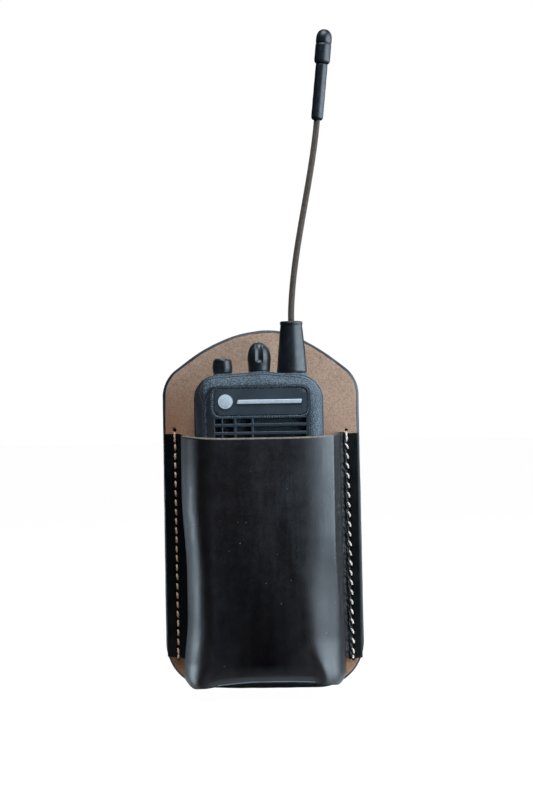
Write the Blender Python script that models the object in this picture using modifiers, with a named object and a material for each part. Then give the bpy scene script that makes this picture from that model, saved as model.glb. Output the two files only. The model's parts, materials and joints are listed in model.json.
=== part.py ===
"""Hand-held two-way radio in a leather belt holster.

Metres, +Z up. Z = 0 is the lowest edge of the holster's back panel, Y = 0 is that panel's rear face,
the front looks towards -Y, and X = 0 is the panel's centreline; left is -X. Dimensions in the code
are in millimetres, and a name ending in _X, _Y or _Z with two values is a span along that axis.
"""

import math

import bmesh
import bpy
from mathutils import Vector

# ------------------------------------------------------------------ driving dimensions (mm)
MM = 0.001
GAP = 0.3                     # clearance between neighbouring pieces

# holster
PANEL_T = 2.4                 # back panel leather
LEATHER_T = 2.2               # pocket and belt loop leather
THREAD_R = 0.4

# radio
RADIO_X = -1.0
RADIO_HALF = 30.0
RADIO_LEFT, RADIO_RIGHT = RADIO_X - RADIO_HALF, RADIO_X + RADIO_HALF
RADIO_LOW_Z = 12.5
RADIO_TOP_Z = 150.4
FRONT_Y = -41.4
REAR_Y = -4.2
WALL = 2.0
SPLIT_Y = -21.8               # rear rim of the lower front housing
HOOD_Z = 121.0                # the hood reaches back above this height
HOOD_Y = -6.5
DECK_Z = 149.4                # top deck that carries the knobs
OPENING_GAP = 0.4             # clearance round buttons, jack and contacts

# places shared by several pieces
VOLUME_XY = (-17.5, -21.0)
CHANNEL_XY = (-0.4, -21.0)
ANTENNA_XY = (14.8, -20.0)
LED_XY = (4.6, -11.5)
MIC_Z = 40.0
SPEAKER_Z = 114.3
CHASSIS_SCREWS = tuple((side, RADIO_X + side * 25.6) for side in (-1, 1))  # side, x
CHASSIS_SCREW_Z = 22.0
CHASSIS_BORE_R = 1.35
PLATE_X = (-21.5, 21.4)       # nameplate recess
PLATE_Z = (129.7, 142.4)
PLATE_R = 3.2
CONTACT_HALF = 7.6            # battery contacts
CONTACT_Z = (100.4, 107.6)

# left side buttons: cutter suffix, name, height span, how far each stands proud
BUTTON_Y = (-35.5, -26.5)
SIDE_BUTTONS = (
    ("ptt", "ptt_button", (86.0, 108.0), 1.6),
    ("up", "side_button_upper", (111.0, 119.0), 1.2),
    ("low", "side_button_lower", (75.0, 83.0), 1.2),
)

# accessory connector on the right side
JACK_Y = (-34.0, -26.8)
JACK_Z = (88.0, 104.0)
COVER_SCREW_YZ = (-30.4, 108.4)
COVER_BORE_R = 1.6

# base colour, roughness, metallic
MATERIALS = {
    "panel_leather": ((0.27, 0.175, 0.125), 0.75, 0.0),
    "pocket_leather": ((0.012, 0.009, 0.009), 0.35, 0.0),
    "thread_tan": ((0.46, 0.34, 0.25), 0.7, 0.0),
    "thread_cream": ((0.82, 0.8, 0.74), 0.7, 0.0),
    "housing_plastic": ((0.02, 0.024, 0.027), 0.5, 0.0),
    "knob_rubber": ((0.015, 0.018, 0.02), 0.45, 0.0),
    "antenna_rubber": ((0.018, 0.02, 0.023), 0.5, 0.0),
    "cable_braid": ((0.08, 0.07, 0.06), 0.6, 0.0),
    "plate_plastic": ((0.018, 0.022, 0.026), 0.3, 0.0),
    "mark_white": ((0.85, 0.86, 0.86), 0.35, 0.0),
    "cast_alloy": ((0.42, 0.43, 0.44), 0.45, 0.9),
    "seal_rubber": ((0.03, 0.03, 0.03), 0.7, 0.0),
    "felt": ((0.02, 0.02, 0.02), 0.95, 0.0),
    "steel": ((0.6, 0.6, 0.6), 0.3, 1.0),
    "magnet": ((0.12, 0.12, 0.13), 0.4, 0.8),
    "paper_cone": ((0.05, 0.045, 0.04), 0.9, 0.0),
    "board_green": ((0.02, 0.12, 0.06), 0.5, 0.0),
    "tinplate": ((0.62, 0.62, 0.6), 0.3, 1.0),
    "brass": ((0.7, 0.52, 0.22), 0.3, 1.0),
    "lens": ((0.6, 0.05, 0.03), 0.15, 0.0),
    "battery_plastic": ((0.02, 0.022, 0.025), 0.5, 0.0),
    "cell_wrap": ((0.05, 0.12, 0.3), 0.35, 0.0),
}

# ------------------------------------------------------------------ scene
for old in list(bpy.data.objects):
    bpy.data.objects.remove(old, do_unlink=True)

PARTS = bpy.data.collections.new("two_way_radio_in_holster")
CUTTERS = bpy.data.collections.new("cutters")
bpy.context.scene.collection.children.link(PARTS)
bpy.context.scene.collection.children.link(CUTTERS)


# ------------------------------------------------------------------ helpers
# In every helper that makes an object, leaving out the material makes it a hidden cutter.
def material(name):
    mat = bpy.data.materials.get(name)
    if mat is None:
        colour, roughness, metallic = MATERIALS[name]
        mat = bpy.data.materials.new(name)
        mat.use_nodes = True
        inputs = mat.node_tree.nodes["Principled BSDF"].inputs
        inputs["Base Color"].default_value = (*colour, 1.0)
        inputs["Roughness"].default_value = roughness
        inputs["Metallic"].default_value = metallic
    return mat


def link(obj, mat=None):
    if mat:
        PARTS.objects.link(obj)
        obj.data.materials.append(material(mat))
    else:
        CUTTERS.objects.link(obj)
        obj.hide_render = True
        obj.display_type = "WIRE"
    return obj


def smooth(obj, angle=35.0):
    obj.data.shade_smooth()
    obj.data.set_sharp_from_angle(angle=math.radians(angle))
    return obj


def mesh_object(name, shape, mat=None, loc=(0, 0, 0), rot=(0, 0, 0)):
    """An object from a bmesh in metres, placed at a point in millimetres."""
    bmesh.ops.recalc_face_normals(shape, faces=shape.faces)
    mesh = bpy.data.meshes.new(name)
    shape.to_mesh(mesh)
    shape.free()
    obj = bpy.data.objects.new(name, mesh)
    obj.location = Vector(loc) * MM
    obj.rotation_euler = rot
    return link(obj, mat)


def bevel(obj, width, segments=1, angle=40.0):
    mod = obj.modifiers.new("edge", "BEVEL")
    mod.width = width * MM
    mod.segments = segments
    mod.limit_method = "ANGLE"
    mod.angle_limit = math.radians(angle)
    mod.use_clamp_overlap = False


def cut(obj, tool, operation="DIFFERENCE"):
    mod = obj.modifiers.new(tool.name, "BOOLEAN")
    mod.operation = operation
    mod.solver = "EXACT"
    mod.object = tool


def box(name, low, high, mat=None, edge=0.0, segments=1):
    """A block from its low and high corners."""
    centre = [(a + b) / 2 for a, b in zip(low, high)]
    size = [(b - a) * MM for a, b in zip(low, high)]
    shape = bmesh.new()
    bmesh.ops.create_cube(shape, size=1.0)
    bmesh.ops.scale(shape, vec=size, verts=shape.verts)
    obj = mesh_object(name, shape, mat, centre)
    if edge:
        bevel(obj, edge, segments)
    return obj


def span_box(name, span_x, span_y, span_z, mat=None, edge=0.0, segments=1):
    """A block from its span along each axis."""
    return box(name, *zip(span_x, span_y, span_z), mat, edge, segments)


def radio_box(name, half_width, span_y, span_z, mat=None, edge=0.0):
    """A block centred on the radio's width."""
    return span_box(name, widened((RADIO_X, RADIO_X), half_width), span_y, span_z, mat, edge)


def rod(name, centre, radius, length, axis="Z", steps=16, mat=None):
    """A cylinder centred on a point, along one axis."""
    shape = bmesh.new()
    bmesh.ops.create_cone(
        shape, cap_ends=True, segments=steps,
        radius1=radius * MM, radius2=radius * MM, depth=length * MM,
    )
    rot = {"Z": (0, 0, 0), "Y": (math.pi / 2, 0, 0), "X": (0, math.pi / 2, 0)}[axis]
    obj = mesh_object(name, shape, mat, centre, rot)
    return smooth(obj) if mat else obj


def turned(name, profile, mat, loc, rot=(0, 0, 0), steps=24, closed=False):
    """A Screw modifier that turns a profile of (radius, height) about its own Z."""
    shape = bmesh.new()
    verts = [shape.verts.new((radius * MM, 0.0, z * MM)) for radius, z in profile]
    for a, b in zip(verts, verts[1:]):
        shape.edges.new((a, b))
    if closed:
        shape.edges.new((verts[-1], verts[0]))
    mod = mesh_object(name, shape, mat, loc, rot).modifiers.new("turn", "SCREW")
    mod.axis = "Z"
    mod.angle = math.tau
    mod.steps = mod.render_steps = steps
    mod.use_merge_vertices = True
    mod.merge_threshold = 0.00001
    mod.use_smooth_shade = True
    return mod.id_data


def prism_x(name, profile, half_width, caps, mat):
    """A closed profile of (y, z) run across X; each cap lists the profile points of an end face."""
    shape = bmesh.new()
    ends = [
        [shape.verts.new((x * MM, y * MM, z * MM)) for y, z in profile]
        for x in (-half_width, half_width)
    ]
    for k in range(len(profile)):
        m = (k + 1) % len(profile)
        shape.faces.new((ends[0][k], ends[0][m], ends[1][m], ends[1][k]))
    for end in ends:
        for cap in caps:
            shape.faces.new([end[k] for k in cap])
    return mesh_object(name, shape, mat)


def rounded(corners, per=6):
    """A closed outline from corners (x, y, radius), each an arc of per steps."""
    out = []
    for i, (x, y, radius) in enumerate(corners):
        corner = Vector((x, y))
        back = (Vector(corners[i - 1][:2]) - corner).normalized()
        ahead = (Vector(corners[(i + 1) % len(corners)][:2]) - corner).normalized()
        half = back.angle(ahead) / 2
        reach = radius / math.tan(half)
        centre = corner + (back + ahead).normalized() * (radius / math.sin(half))
        start = corner + back * reach - centre
        end = corner + ahead * reach - centre
        sweep = math.atan2(start.x * end.y - start.y * end.x, start.dot(end))
        for k in range(per + 1):
            cos, sin = math.cos(sweep * k / per), math.sin(sweep * k / per)
            out.append((
                centre.x + start.x * cos - start.y * sin,
                centre.y + start.x * sin + start.y * cos,
            ))
    return out


def rounded_rect(across, along, radius, per):
    (x0, x1), (y0, y1) = across, along
    return rounded([(x0, y0, radius), (x1, y0, radius), (x1, y1, radius), (x0, y1, radius)], per)


def curve_object(name, dimensions, points, cyclic):
    """A temporary object with one poly spline through (x, y, z)."""
    curve = bpy.data.curves.new(name, "CURVE")
    curve.dimensions = dimensions
    spline = curve.splines.new("POLY")
    spline.points.add(len(points) - 1)
    for knot, (x, y, z) in zip(spline.points, points):
        knot.co = (x * MM, y * MM, z * MM, 1.0)
    spline.use_cyclic_u = cyclic
    source = bpy.data.objects.new(name, curve)
    bpy.context.scene.collection.objects.link(source)
    return source


def from_curve(name, source, mat=None):
    """Turns a curve object into a welded mesh object in the same place."""
    bpy.context.view_layer.update()
    graph = bpy.context.evaluated_depsgraph_get()
    mesh = bpy.data.meshes.new_from_object(source.evaluated_get(graph))
    shape = bmesh.new()
    shape.from_mesh(mesh)
    bmesh.ops.remove_doubles(shape, verts=shape.verts, dist=0.000001)
    bmesh.ops.recalc_face_normals(shape, faces=shape.faces)
    shape.to_mesh(mesh)
    shape.free()
    mesh.name = name
    obj = bpy.data.objects.new(name, mesh)
    obj.matrix_world = source.matrix_world.copy()
    bpy.data.objects.remove(source, do_unlink=True)
    return link(obj, mat)


def outline_solid(name, points, y_front, y_rear, mat=None):
    """A flat outline in X and Z, filled and extruded from y_front to y_rear."""
    flat = curve_object(name + "_outline", "2D", [(x, z, 0.0) for x, z in points], True)
    flat.data.fill_mode = "BOTH"
    flat.data.extrude = (y_rear - y_front) / 2 * MM
    flat.location = (0.0, (y_front + y_rear) / 2 * MM, 0.0)
    flat.rotation_euler = (math.pi / 2, 0.0, 0.0)
    return from_curve(name, flat, mat)


def wire(name, points, radius, mat, cyclic=False, resolution=2):
    """A round wire along points."""
    path = curve_object(name + "_path", "3D", points, cyclic)
    path.data.bevel_depth = radius * MM
    path.data.bevel_resolution = resolution
    path.data.use_fill_caps = not cyclic
    smooth(from_curve(name, path, mat), 50)


def thread_ring(name, low, high, y_front, y_rear, mat):
    """A racetrack of thread in the plane through two points (x, z) and the Y axis."""
    (x0, z0), (x1, z1) = low, high
    length = math.hypot(x1 - x0, z1 - z0)
    step_x, step_z = (x1 - x0) / length, (z1 - z0) / length
    track = rounded_rect((0, length), (y_front, y_rear), 0.6, 3)
    points = [(x0 + step_x * s, y, z0 + step_z * s) for s, y in track]
    wire(name, points, THREAD_R, mat, True, 1)


def widened(span, margin):
    return span[0] - margin, span[1] + margin


def lerp(a, b, t):
    return a + (b - a) * t


def smoothstep(start, end, value):
    t = min(1.0, max(0.0, (value - start) / (end - start)))
    return t * t * (3 - 2 * t)


# ------------------------------------------------------------------ holster back panel
PANEL_HALF = 46.6
PANEL_SHOULDER_Z = 147.0      # where the sides would meet the diagonals
PANEL_LOW_R, PANEL_SHOULDER_R = 21.8, 16.0
PANEL_CROWN = (               # corners of the crown, right to left: x, z, radius
    (29.0, 160.4, 80.0), (15.5, 168.0, 26.0), (5.5, 170.6, 34.0),
    (-10.5, 168.4, 60.0), (-27.0, 161.6, 70.0),
)
HOLE_R = THREAD_R + 0.45
SEAMS = (                     # side, top hole and bottom hole (x, z), thread
    ("left", (-41.0, 123.1), (-41.2, 15.0), "thread_tan"),
    ("right", (40.0, 122.1), (41.6, 13.9), "thread_cream"),
)
LOOP_Z = (60.0, 69.5, 77.0, 125.0, 132.5, 142.0)  # bends of the belt loop, and its ends
LOOP_SEAM_X = 18.0
LOOP_SEAM_SHIFT = 0.8         # the seams lie this far out from the middle of the sewn ends
LOOP_SEAM_Z = (
    (LOOP_Z[0] + LOOP_Z[1]) / 2 - LOOP_SEAM_SHIFT,
    (LOOP_Z[4] + LOOP_Z[5]) / 2 + LOOP_SEAM_SHIFT,
)


def back_panel():
    """Builds the panel; returns the cutters it shares with the belt loop."""
    outline = rounded(
        [
            (-PANEL_HALF - 0.4, 0.0, PANEL_LOW_R),
            (PANEL_HALF + 0.5, 0.0, PANEL_LOW_R),
            (PANEL_HALF - 0.2, PANEL_SHOULDER_Z, PANEL_SHOULDER_R),
            *PANEL_CROWN,
            (-PANEL_HALF, PANEL_SHOULDER_Z, PANEL_SHOULDER_R),
        ],
        8,
    )
    panel = outline_solid("holster_back_panel", outline, -PANEL_T, 0.0, "panel_leather")
    bevel(panel, 0.35)
    for side, top, low, _ in SEAMS:
        for end, (x, z) in (("top", top), ("low", low)):
            centre = (x, -PANEL_T / 2, z)
            cut(panel, rod(f"cut_seam_{side}_{end}", centre, HOLE_R, PANEL_T * 3, "Y", 10))
    loop_holes = []
    for z in LOOP_SEAM_Z:
        for x in (-LOOP_SEAM_X, LOOP_SEAM_X):
            tool = rod(f"cut_loop_{x:+.0f}_{z:.0f}", (x, 0.0, z), HOLE_R, 12.0, "Y", 10)
            loop_holes.append(tool)
            cut(panel, tool)
    return loop_holes


# ------------------------------------------------------------------ pocket
MOUTH_Z = 121.0
MOUTH_DIP = 1.7               # the mouth sags at its middle
MOUTH_LIFT = 0.1              # and rises at the wall bases
FLANGE_Y = -(PANEL_T + GAP + LEATHER_T)
FLANGE_LOW_Z = 15.7
FLANGE_HALF = 46.1
POCKET_FRONT_Y = -45.2
CREASE_SETBACK = 1.1          # the front moves back at the crease
BASE_LOW_Z = 5.0              # where the pocket's walls end at the back panel
CREASE_Z = 8.6                # bottom front crease, at its middle
EAR_LEFT = (-32.3, 6.1)       # pinched corners of the crease: x, z
EAR_RIGHT = (32.9, 6.9)
POCKET_BOTTOM_Z = 0.9         # bottom wall at the back panel
WALL_END_Y = -3.2             # the walls stop this far from the panel's rear face

# wall bases: x at the mouth, then inward moves at the waist and the crease, or outward flare
BASE_LEFT_X, BASE_LEFT_WAIST, BASE_LEFT_TUCK = -37.8, 1.4, 0.9
BASE_RIGHT_X, BASE_RIGHT_FLARE, BASE_RIGHT_TUCK = 37.0, 0.8, 1.4
FRONT_LEFT_X = (-35.8, -35.2)     # front corners: at the mouth, and lower down
FRONT_RIGHT_X = (33.4, 35.4)
CORNER_REACH = (10.0, 2.0)        # length of the corner curve, above and at the crease
BULGE = (0.4, 0.6)                # front bulge at the ends, and more at mid height

WALL_STEPS, CORNER_STEPS, FRONT_STEPS = 3, 4, 6
SIDE_STEPS = WALL_STEPS + CORNER_STEPS
LAST_POINT = 2 * SIDE_STEPS + FRONT_STEPS

# rows down the pocket, 0 at the mouth and 1 at the crease; the flanges end at FLANGE_ROW
FLANGE_ROW = 6
ROWS = (
    0.0, 0.14, 0.3, 0.46, 0.62, 0.76,
    (MOUTH_Z - FLANGE_LOW_Z) / (MOUTH_Z - BASE_LOW_Z), 0.955, 1.0,
)


def pocket_side(base_x, front_x, front_y, reach):
    """One wall and its front corner, in plan, from the wall's base."""
    base, front = Vector((base_x, FLANGE_Y)), Vector((front_x, front_y))
    start = front - (front - base).normalized() * reach
    stop = front + Vector((1.0 if front_x < 0 else -1.0, 0.0)) * reach
    points = [base.lerp(start, i / WALL_STEPS) for i in range(WALL_STEPS + 1)]
    for i in range(1, CORNER_STEPS + 1):
        t = i / CORNER_STEPS
        points.append(start * (1 - t) ** 2 + front * (2 * t * (1 - t)) + stop * t * t)
    return points


def pocket_heights(i):
    """Heights of point i of a row at the mouth and at the crease."""
    from_base = min(i, LAST_POINT - i)
    if from_base <= SIDE_STEPS:
        f = from_base / SIDE_STEPS
        ear_z = (EAR_LEFT if i <= SIDE_STEPS else EAR_RIGHT)[1]
        return MOUTH_Z + MOUTH_LIFT * (1 - f), lerp(BASE_LOW_Z, ear_z, min(1.0, f * 1.1))
    t = (i - SIDE_STEPS) / FRONT_STEPS
    top = MOUTH_Z - MOUTH_DIP * 4 * t * (1 - t)
    rise = smoothstep(0.0, 0.42, t) * smoothstep(1.0, 0.8, t)
    low = lerp(lerp(EAR_LEFT[1], EAR_RIGHT[1], t), CREASE_Z, math.sin(math.pi * t) ** 0.6)
    return top, max(low, lerp(low, CREASE_Z, rise))


def pocket_row(v):
    """Points of the outer face at v, from the left wall's base round the front to the right's."""
    waist = math.sin(math.pi * min(1.0, v * 1.05)) ** 2
    tuck = smoothstep(0.88, 1.0, v)
    base_left = BASE_LEFT_X + BASE_LEFT_WAIST * waist + BASE_LEFT_TUCK * tuck
    flare = BASE_RIGHT_FLARE * smoothstep(0.5, 0.9, v)
    base_right = BASE_RIGHT_X + flare - BASE_RIGHT_TUCK * tuck
    front_left = lerp(lerp(*FRONT_LEFT_X, smoothstep(0, 0.6, v)), EAR_LEFT[0], tuck)
    front_right = lerp(lerp(*FRONT_RIGHT_X, smoothstep(0.4, 0.8, v)), EAR_RIGHT[0], tuck)
    front_y = POCKET_FRONT_Y + CREASE_SETBACK * smoothstep(0.93, 1.0, v)
    reach = lerp(*CORNER_REACH, tuck)
    bulge = BULGE[0] + BULGE[1] * math.sin(math.pi * v)

    left = pocket_side(base_left, front_left, front_y, reach)
    right = pocket_side(base_right, front_right, front_y, reach)
    middle = []
    for i in range(1, FRONT_STEPS):
        t = i / FRONT_STEPS
        point = left[-1].lerp(right[-1], t)
        point.y -= bulge * 4 * t * (1 - t)
        middle.append(point)
    plan = left + middle + right[::-1]
    return [Vector((p.x, p.y, lerp(*pocket_heights(i), v))) for i, p in enumerate(plan)]


def bridge(shape, rows):
    """Quads between each row of vertices and the next."""
    for upper, lower in zip(rows, rows[1:]):
        for i in range(len(upper) - 1):
            shape.faces.new((upper[i], upper[i + 1], lower[i + 1], lower[i]))


def pocket_bottom(shape, crease_row):
    """The bottom wall, from the crease back to the panel."""
    grid = [crease_row[SIDE_STEPS: len(crease_row) - SIDE_STEPS]]
    for j in range(1, SIDE_STEPS + 1):
        left, right = crease_row[SIDE_STEPS - j], crease_row[LAST_POINT - SIDE_STEPS + j]
        depth = j / SIDE_STEPS
        line = [left]
        for i in range(1, FRONT_STEPS):
            t = i / FRONT_STEPS
            front, ends = grid[0][i].co, left.co.lerp(right.co, t)
            y = ends.y
            if j < SIDE_STEPS:
                y = lerp(lerp(front.y, WALL_END_Y * MM, depth), ends.y, 0.6)
            rear_z = lerp(ends.z, POCKET_BOTTOM_Z * MM, math.sin(math.pi * t) ** 0.5)
            line.append(shape.verts.new((ends.x, y, lerp(front.z, rear_z, depth))))
        grid.append(line + [right])
    bridge(shape, grid)


def pocket():
    shape = bmesh.new()
    rows = [[shape.verts.new(p * MM) for p in pocket_row(v)] for v in ROWS]
    bridge(shape, rows)
    # below the flanges the walls run on to the back panel
    for row in rows[FLANGE_ROW + 1:]:
        row[0].co.y = row[-1].co.y = WALL_END_Y * MM
    # sewing flanges
    edge_left, edge_right = (
        [
            shape.verts.new((x * MM, FLANGE_Y * MM, row[end].co.z))
            for row in rows[:FLANGE_ROW + 1]
        ]
        for x, end in ((-FLANGE_HALF, 0), (FLANGE_HALF, -1))
    )
    for i in range(FLANGE_ROW):
        shape.faces.new((edge_left[i], rows[i][0], rows[i + 1][0], edge_left[i + 1]))
        shape.faces.new((rows[i][-1], edge_right[i], edge_right[i + 1], rows[i + 1][-1]))
    pocket_bottom(shape, rows[-1])
    obj = mesh_object("holster_pocket", shape, "pocket_leather")
    # a front face must look forwards, so that the leather thickens inwards
    if obj.data.polygons[SIDE_STEPS + 2].normal.y > 0:
        obj.data.flip_normals()
    leather = obj.modifiers.new("leather", "SOLIDIFY")
    leather.thickness = LEATHER_T * MM
    leather.offset = -1.0
    leather.use_even_offset = True
    leather.use_rim = True
    smooth(obj, 50)


def seam_threads():
    for side, top, low, mat in SEAMS:
        y_front, y_rear = FLANGE_Y - GAP - THREAD_R, GAP + THREAD_R
        thread_ring(f"seam_thread_{side}", low, top, y_front, y_rear, mat)


# ------------------------------------------------------------------ belt loop
LOOP_HALF = 23.0
LOOP_DEPTH = 6.4              # clear depth for the belt


def belt_loop(holes):
    """A strip sewn to the panel's rear at both ends, standing off between them."""
    lift = GAP + LOOP_DEPTH
    knots = [Vector(p) for p in zip((GAP, GAP, lift, lift, GAP, GAP), LOOP_Z)]
    normals = []
    for a, b in zip(knots, knots[1:]):
        along = (b - a).normalized()
        normals.append(Vector((along.y, -along.x)))
    outer = []
    for i, knot in enumerate(knots):
        beside = normals[max(i - 1, 0): i + 1]
        mitre = sum(beside, Vector((0.0, 0.0))).normalized()
        outer.append(knot + mitre * (LEATHER_T / mitre.dot(beside[0])))
    profile = knots + outer[::-1]
    last = len(profile) - 1
    caps = [(k, k + 1, last - 1 - k, last - k) for k in range(len(knots) - 1)]
    loop = prism_x("belt_loop", profile, LOOP_HALF, caps, "pocket_leather")
    bevel(loop, 0.3, 1, 60)
    for tool in holes:
        cut(loop, tool)
    y_front, y_rear = -(PANEL_T + GAP + THREAD_R), 2 * GAP + LEATHER_T + THREAD_R
    for label, z in zip(("lower", "upper"), LOOP_SEAM_Z):
        low, high = (-LOOP_SEAM_X, z), (LOOP_SEAM_X, z)
        thread_ring(f"belt_loop_thread_{label}", low, high, y_front, y_rear, "thread_tan")


# ------------------------------------------------------------------ front housing
BOSS_Y = (FRONT_Y + 1.0, -24.0)
GRILLE_ROWS = 8
GRILLE_PITCH = 3.73
GRILLE_TOP_Z = 127.35         # centre of the top row
SLOT_H = 2.3
SLOT_X = ((-21.0, -18.0), (-17.4, -12.5), (-11.3, -4.5), (-3.4, 20.7))
DECK_HOLES = (                # name, centre, radius
    ("volume", VOLUME_XY, 3.4), ("channel", CHANNEL_XY, 3.4),
    ("antenna", ANTENNA_XY, 4.6), ("led", LED_XY, 1.75),
)


def body_outline(inset=0.0, per=6):
    """The radio's outline: straight sides, rounded shoulders and a slightly arched top."""
    left, right = RADIO_LEFT + inset, RADIO_RIGHT - inset
    low, top = RADIO_LOW_Z + inset, RADIO_TOP_Z - inset
    return rounded(
        [
            (left, low, 6.0 - inset),
            (right, low, 6.0 - inset),
            (right - 0.2, 147.7 - inset, 12.0 - inset),
            (9.5, top - 1.3, 30.0),
            (1.0, top - 0.2, 25.0),
            (-6.5, top - 0.9, 30.0),
            (left + 0.4, 148.2 - inset, 11.0 - inset),
        ],
        per,
    )


def grille_cutter():
    shape = bmesh.new()
    for row in range(GRILLE_ROWS):
        z = GRILLE_TOP_Z - row * GRILLE_PITCH
        for x0, x1 in SLOT_X:
            slot = bmesh.ops.create_cube(shape, size=1.0)["verts"]
            bmesh.ops.scale(shape, vec=((x1 - x0) * MM, 8.0 * MM, SLOT_H * MM), verts=slot)
            centre = ((x0 + x1) / 2 * MM, FRONT_Y * MM, z * MM)
            bmesh.ops.translate(shape, vec=centre, verts=slot)
    return mesh_object("cut_grille", shape)


def front_housing():
    housing = outline_solid("front_housing", body_outline(), FRONT_Y, 6.0, "housing_plastic")
    bevel(housing, 3.2, 3, 60)
    cut(housing, box("cut_rear_of_hood", (-60, HOOD_Y, 0), (60, 20, 200)))
    cut(housing, box("cut_battery_bay", (-60, SPLIT_Y, -20), (60, 20, HOOD_Z)))
    cut(housing, outline_solid("cut_cavity", body_outline(WALL, 5), FRONT_Y + WALL, 10.0))
    for side, x in CHASSIS_SCREWS:
        centre = (x, sum(BOSS_Y) / 2, CHASSIS_SCREW_Z)
        boss = rod(f"boss_{side:+d}", centre, 2.6, BOSS_Y[1] - BOSS_Y[0], "Y", 12)
        cut(housing, boss, "UNION")
        bore_centre = (x, -29.0, CHASSIS_SCREW_Z)
        cut(housing, rod(f"cut_boss_{side:+d}", bore_centre, CHASSIS_BORE_R, 16.0, "Y", 10))

    recess = rounded_rect(PLATE_X, PLATE_Z, PLATE_R, 4)
    cut(housing, outline_solid("cut_nameplate", recess, FRONT_Y - 2.0, FRONT_Y + 1.1))
    cut(housing, grille_cutter())
    cut(housing, rod("cut_mic", (RADIO_X, FRONT_Y, MIC_Z), 0.9, 8.0, "Y", 8))
    for name, (x, y), radius in DECK_HOLES:
        cut(housing, rod(f"cut_deck_{name}", (x, y, 150.0), radius, 16.0))

    # openings for the buttons and the accessory connector
    wide_y = widened(BUTTON_Y, OPENING_GAP)
    for suffix, _, span_z, _ in SIDE_BUTTONS:
        wide_z = widened(span_z, OPENING_GAP)
        left_x = (RADIO_LEFT - 6, RADIO_LEFT + 4)
        cut(housing, span_box(f"cut_side_{suffix}", left_x, wide_y, wide_z))
    right_x = (RADIO_RIGHT - 4, RADIO_RIGHT + 6)
    wide_y, wide_z = widened(JACK_Y, OPENING_GAP), widened(JACK_Z, OPENING_GAP)
    cut(housing, span_box("cut_side_jack", right_x, wide_y, wide_z))
    screw_centre = (RADIO_RIGHT - 1.0, *COVER_SCREW_YZ)
    cut(housing, rod("cut_cover_screw", screw_centre, COVER_BORE_R, 8.0, "X", 12))
    smooth(housing, 30)


# ------------------------------------------------------------------ rear chassis and seal
CHASSIS_FRONT_Y = SPLIT_Y + GAP
CHASSIS_REAR_Y = CHASSIS_FRONT_Y + 2.0
SHELF_LOW_Z = 118.7


def rear_chassis():
    """Plate behind the boards, shelf over the battery, and the hood's rear cover."""
    profile = (                   # y, z
        (CHASSIS_FRONT_Y, 13.0), (CHASSIS_REAR_Y, 13.0),
        (CHASSIS_REAR_Y, SHELF_LOW_Z), (REAR_Y, SHELF_LOW_Z),
        (REAR_Y, 160.0), (HOOD_Y + GAP, 160.0),
        (HOOD_Y + GAP, HOOD_Z - GAP), (CHASSIS_FRONT_Y, HOOD_Z - GAP),
    )
    chassis = prism_x("rear_chassis", profile, 50.0, [range(len(profile))], "cast_alloy")
    keep = outline_solid("keep_chassis", body_outline(0.15), -60.0, 20.0)
    cut(chassis, keep, "INTERSECT")
    for side, x in CHASSIS_SCREWS:
        z = CHASSIS_SCREW_Z
        cut(chassis, rod(f"cut_screw_{side:+d}", (x, -22.0, z), CHASSIS_BORE_R, 12.0, "Y", 10))
        cut(chassis, rod(f"cut_head_{side:+d}", (x, CHASSIS_REAR_Y, z), 2.3, 2.4, "Y", 12))
    wide_z = widened(CONTACT_Z, OPENING_GAP)
    cut(chassis, radio_box("cut_contacts", CONTACT_HALF + OPENING_GAP, (-30, -19.35), wide_z))


SEAL_X = (RADIO_X - 22.0, RADIO_X + 22.0)
SEAL_Z = (27.0, 116.0)
SEAL_BAND = 1.4


def main_seal():
    """A rubber ring between the housing and the chassis."""
    outside = rounded_rect(SEAL_X, SEAL_Z, 4, 3)
    inside = rounded_rect(widened(SEAL_X, -SEAL_BAND), widened(SEAL_Z, -SEAL_BAND), 3, 3)
    seal = outline_solid("main_seal", outside, -23.4, -21.85, "seal_rubber")
    cut(seal, outline_solid("cut_seal", inside, -30.0, -15.0))


def chassis_screws():
    profile = [
        (0.0, 1.0), (1.9, 1.0), (1.9, 0.15), (1.0, 0.15), (1.0, -9.0), (0.7, -9.6), (0.0, -9.6),
    ]
    for (_, x), label in zip(CHASSIS_SCREWS, ("left", "right")):
        loc = (x, -20.6, CHASSIS_SCREW_Z)
        turned(f"chassis_screw_{label}", profile, "steel", loc, (-math.pi / 2, 0, 0), 12)


# ------------------------------------------------------------------ nameplate
PLATE_GAP = 0.4               # between the plate and the sides of its recess
BAR_CORNERS = (               # slanted bar: x, z, radius
    (-11.2, 134.9, 0.5), (18.6, 134.9, 0.5), (19.2, 137.3, 0.5), (-10.6, 137.3, 0.5),
)


def nameplate():
    span_x, span_z = widened(PLATE_X, -PLATE_GAP), widened(PLATE_Z, -PLATE_GAP)
    outline = rounded_rect(span_x, span_z, PLATE_R - PLATE_GAP, 4)
    outline_solid("nameplate", outline, -41.0, -40.6, "plate_plastic")
    rod("badge_disc", (-16.1, -41.5, 136.3), 3.3, 0.4, "Y", 24, "mark_white")
    outline_solid("nameplate_bar", rounded(BAR_CORNERS, 2), -41.7, -41.3, "mark_white")


# ------------------------------------------------------------------ speaker and microphone
FACE_FORWARD = (math.pi / 2, 0, 0)    # turns a profile's height towards -Y
BASKET = (                    # radius, height
    (18.0, 7.5), (18.0, 6.6), (16.8, 6.6), (13.0, 0.0),
    (8.6, 0.0), (8.6, 1.0), (12.2, 1.0), (16.1, 7.5),
)
CONE = ((14.3, 6.0), (14.3, 5.6), (6.3, 1.9), (0.0, 1.9), (0.0, 2.4), (6.0, 2.4))
MIC_BOOT = ((4.2, 1.8), (4.2, -1.8), (3.4, -1.8), (3.4, 0.8), (0.9, 0.8), (0.9, 1.8))


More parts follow.
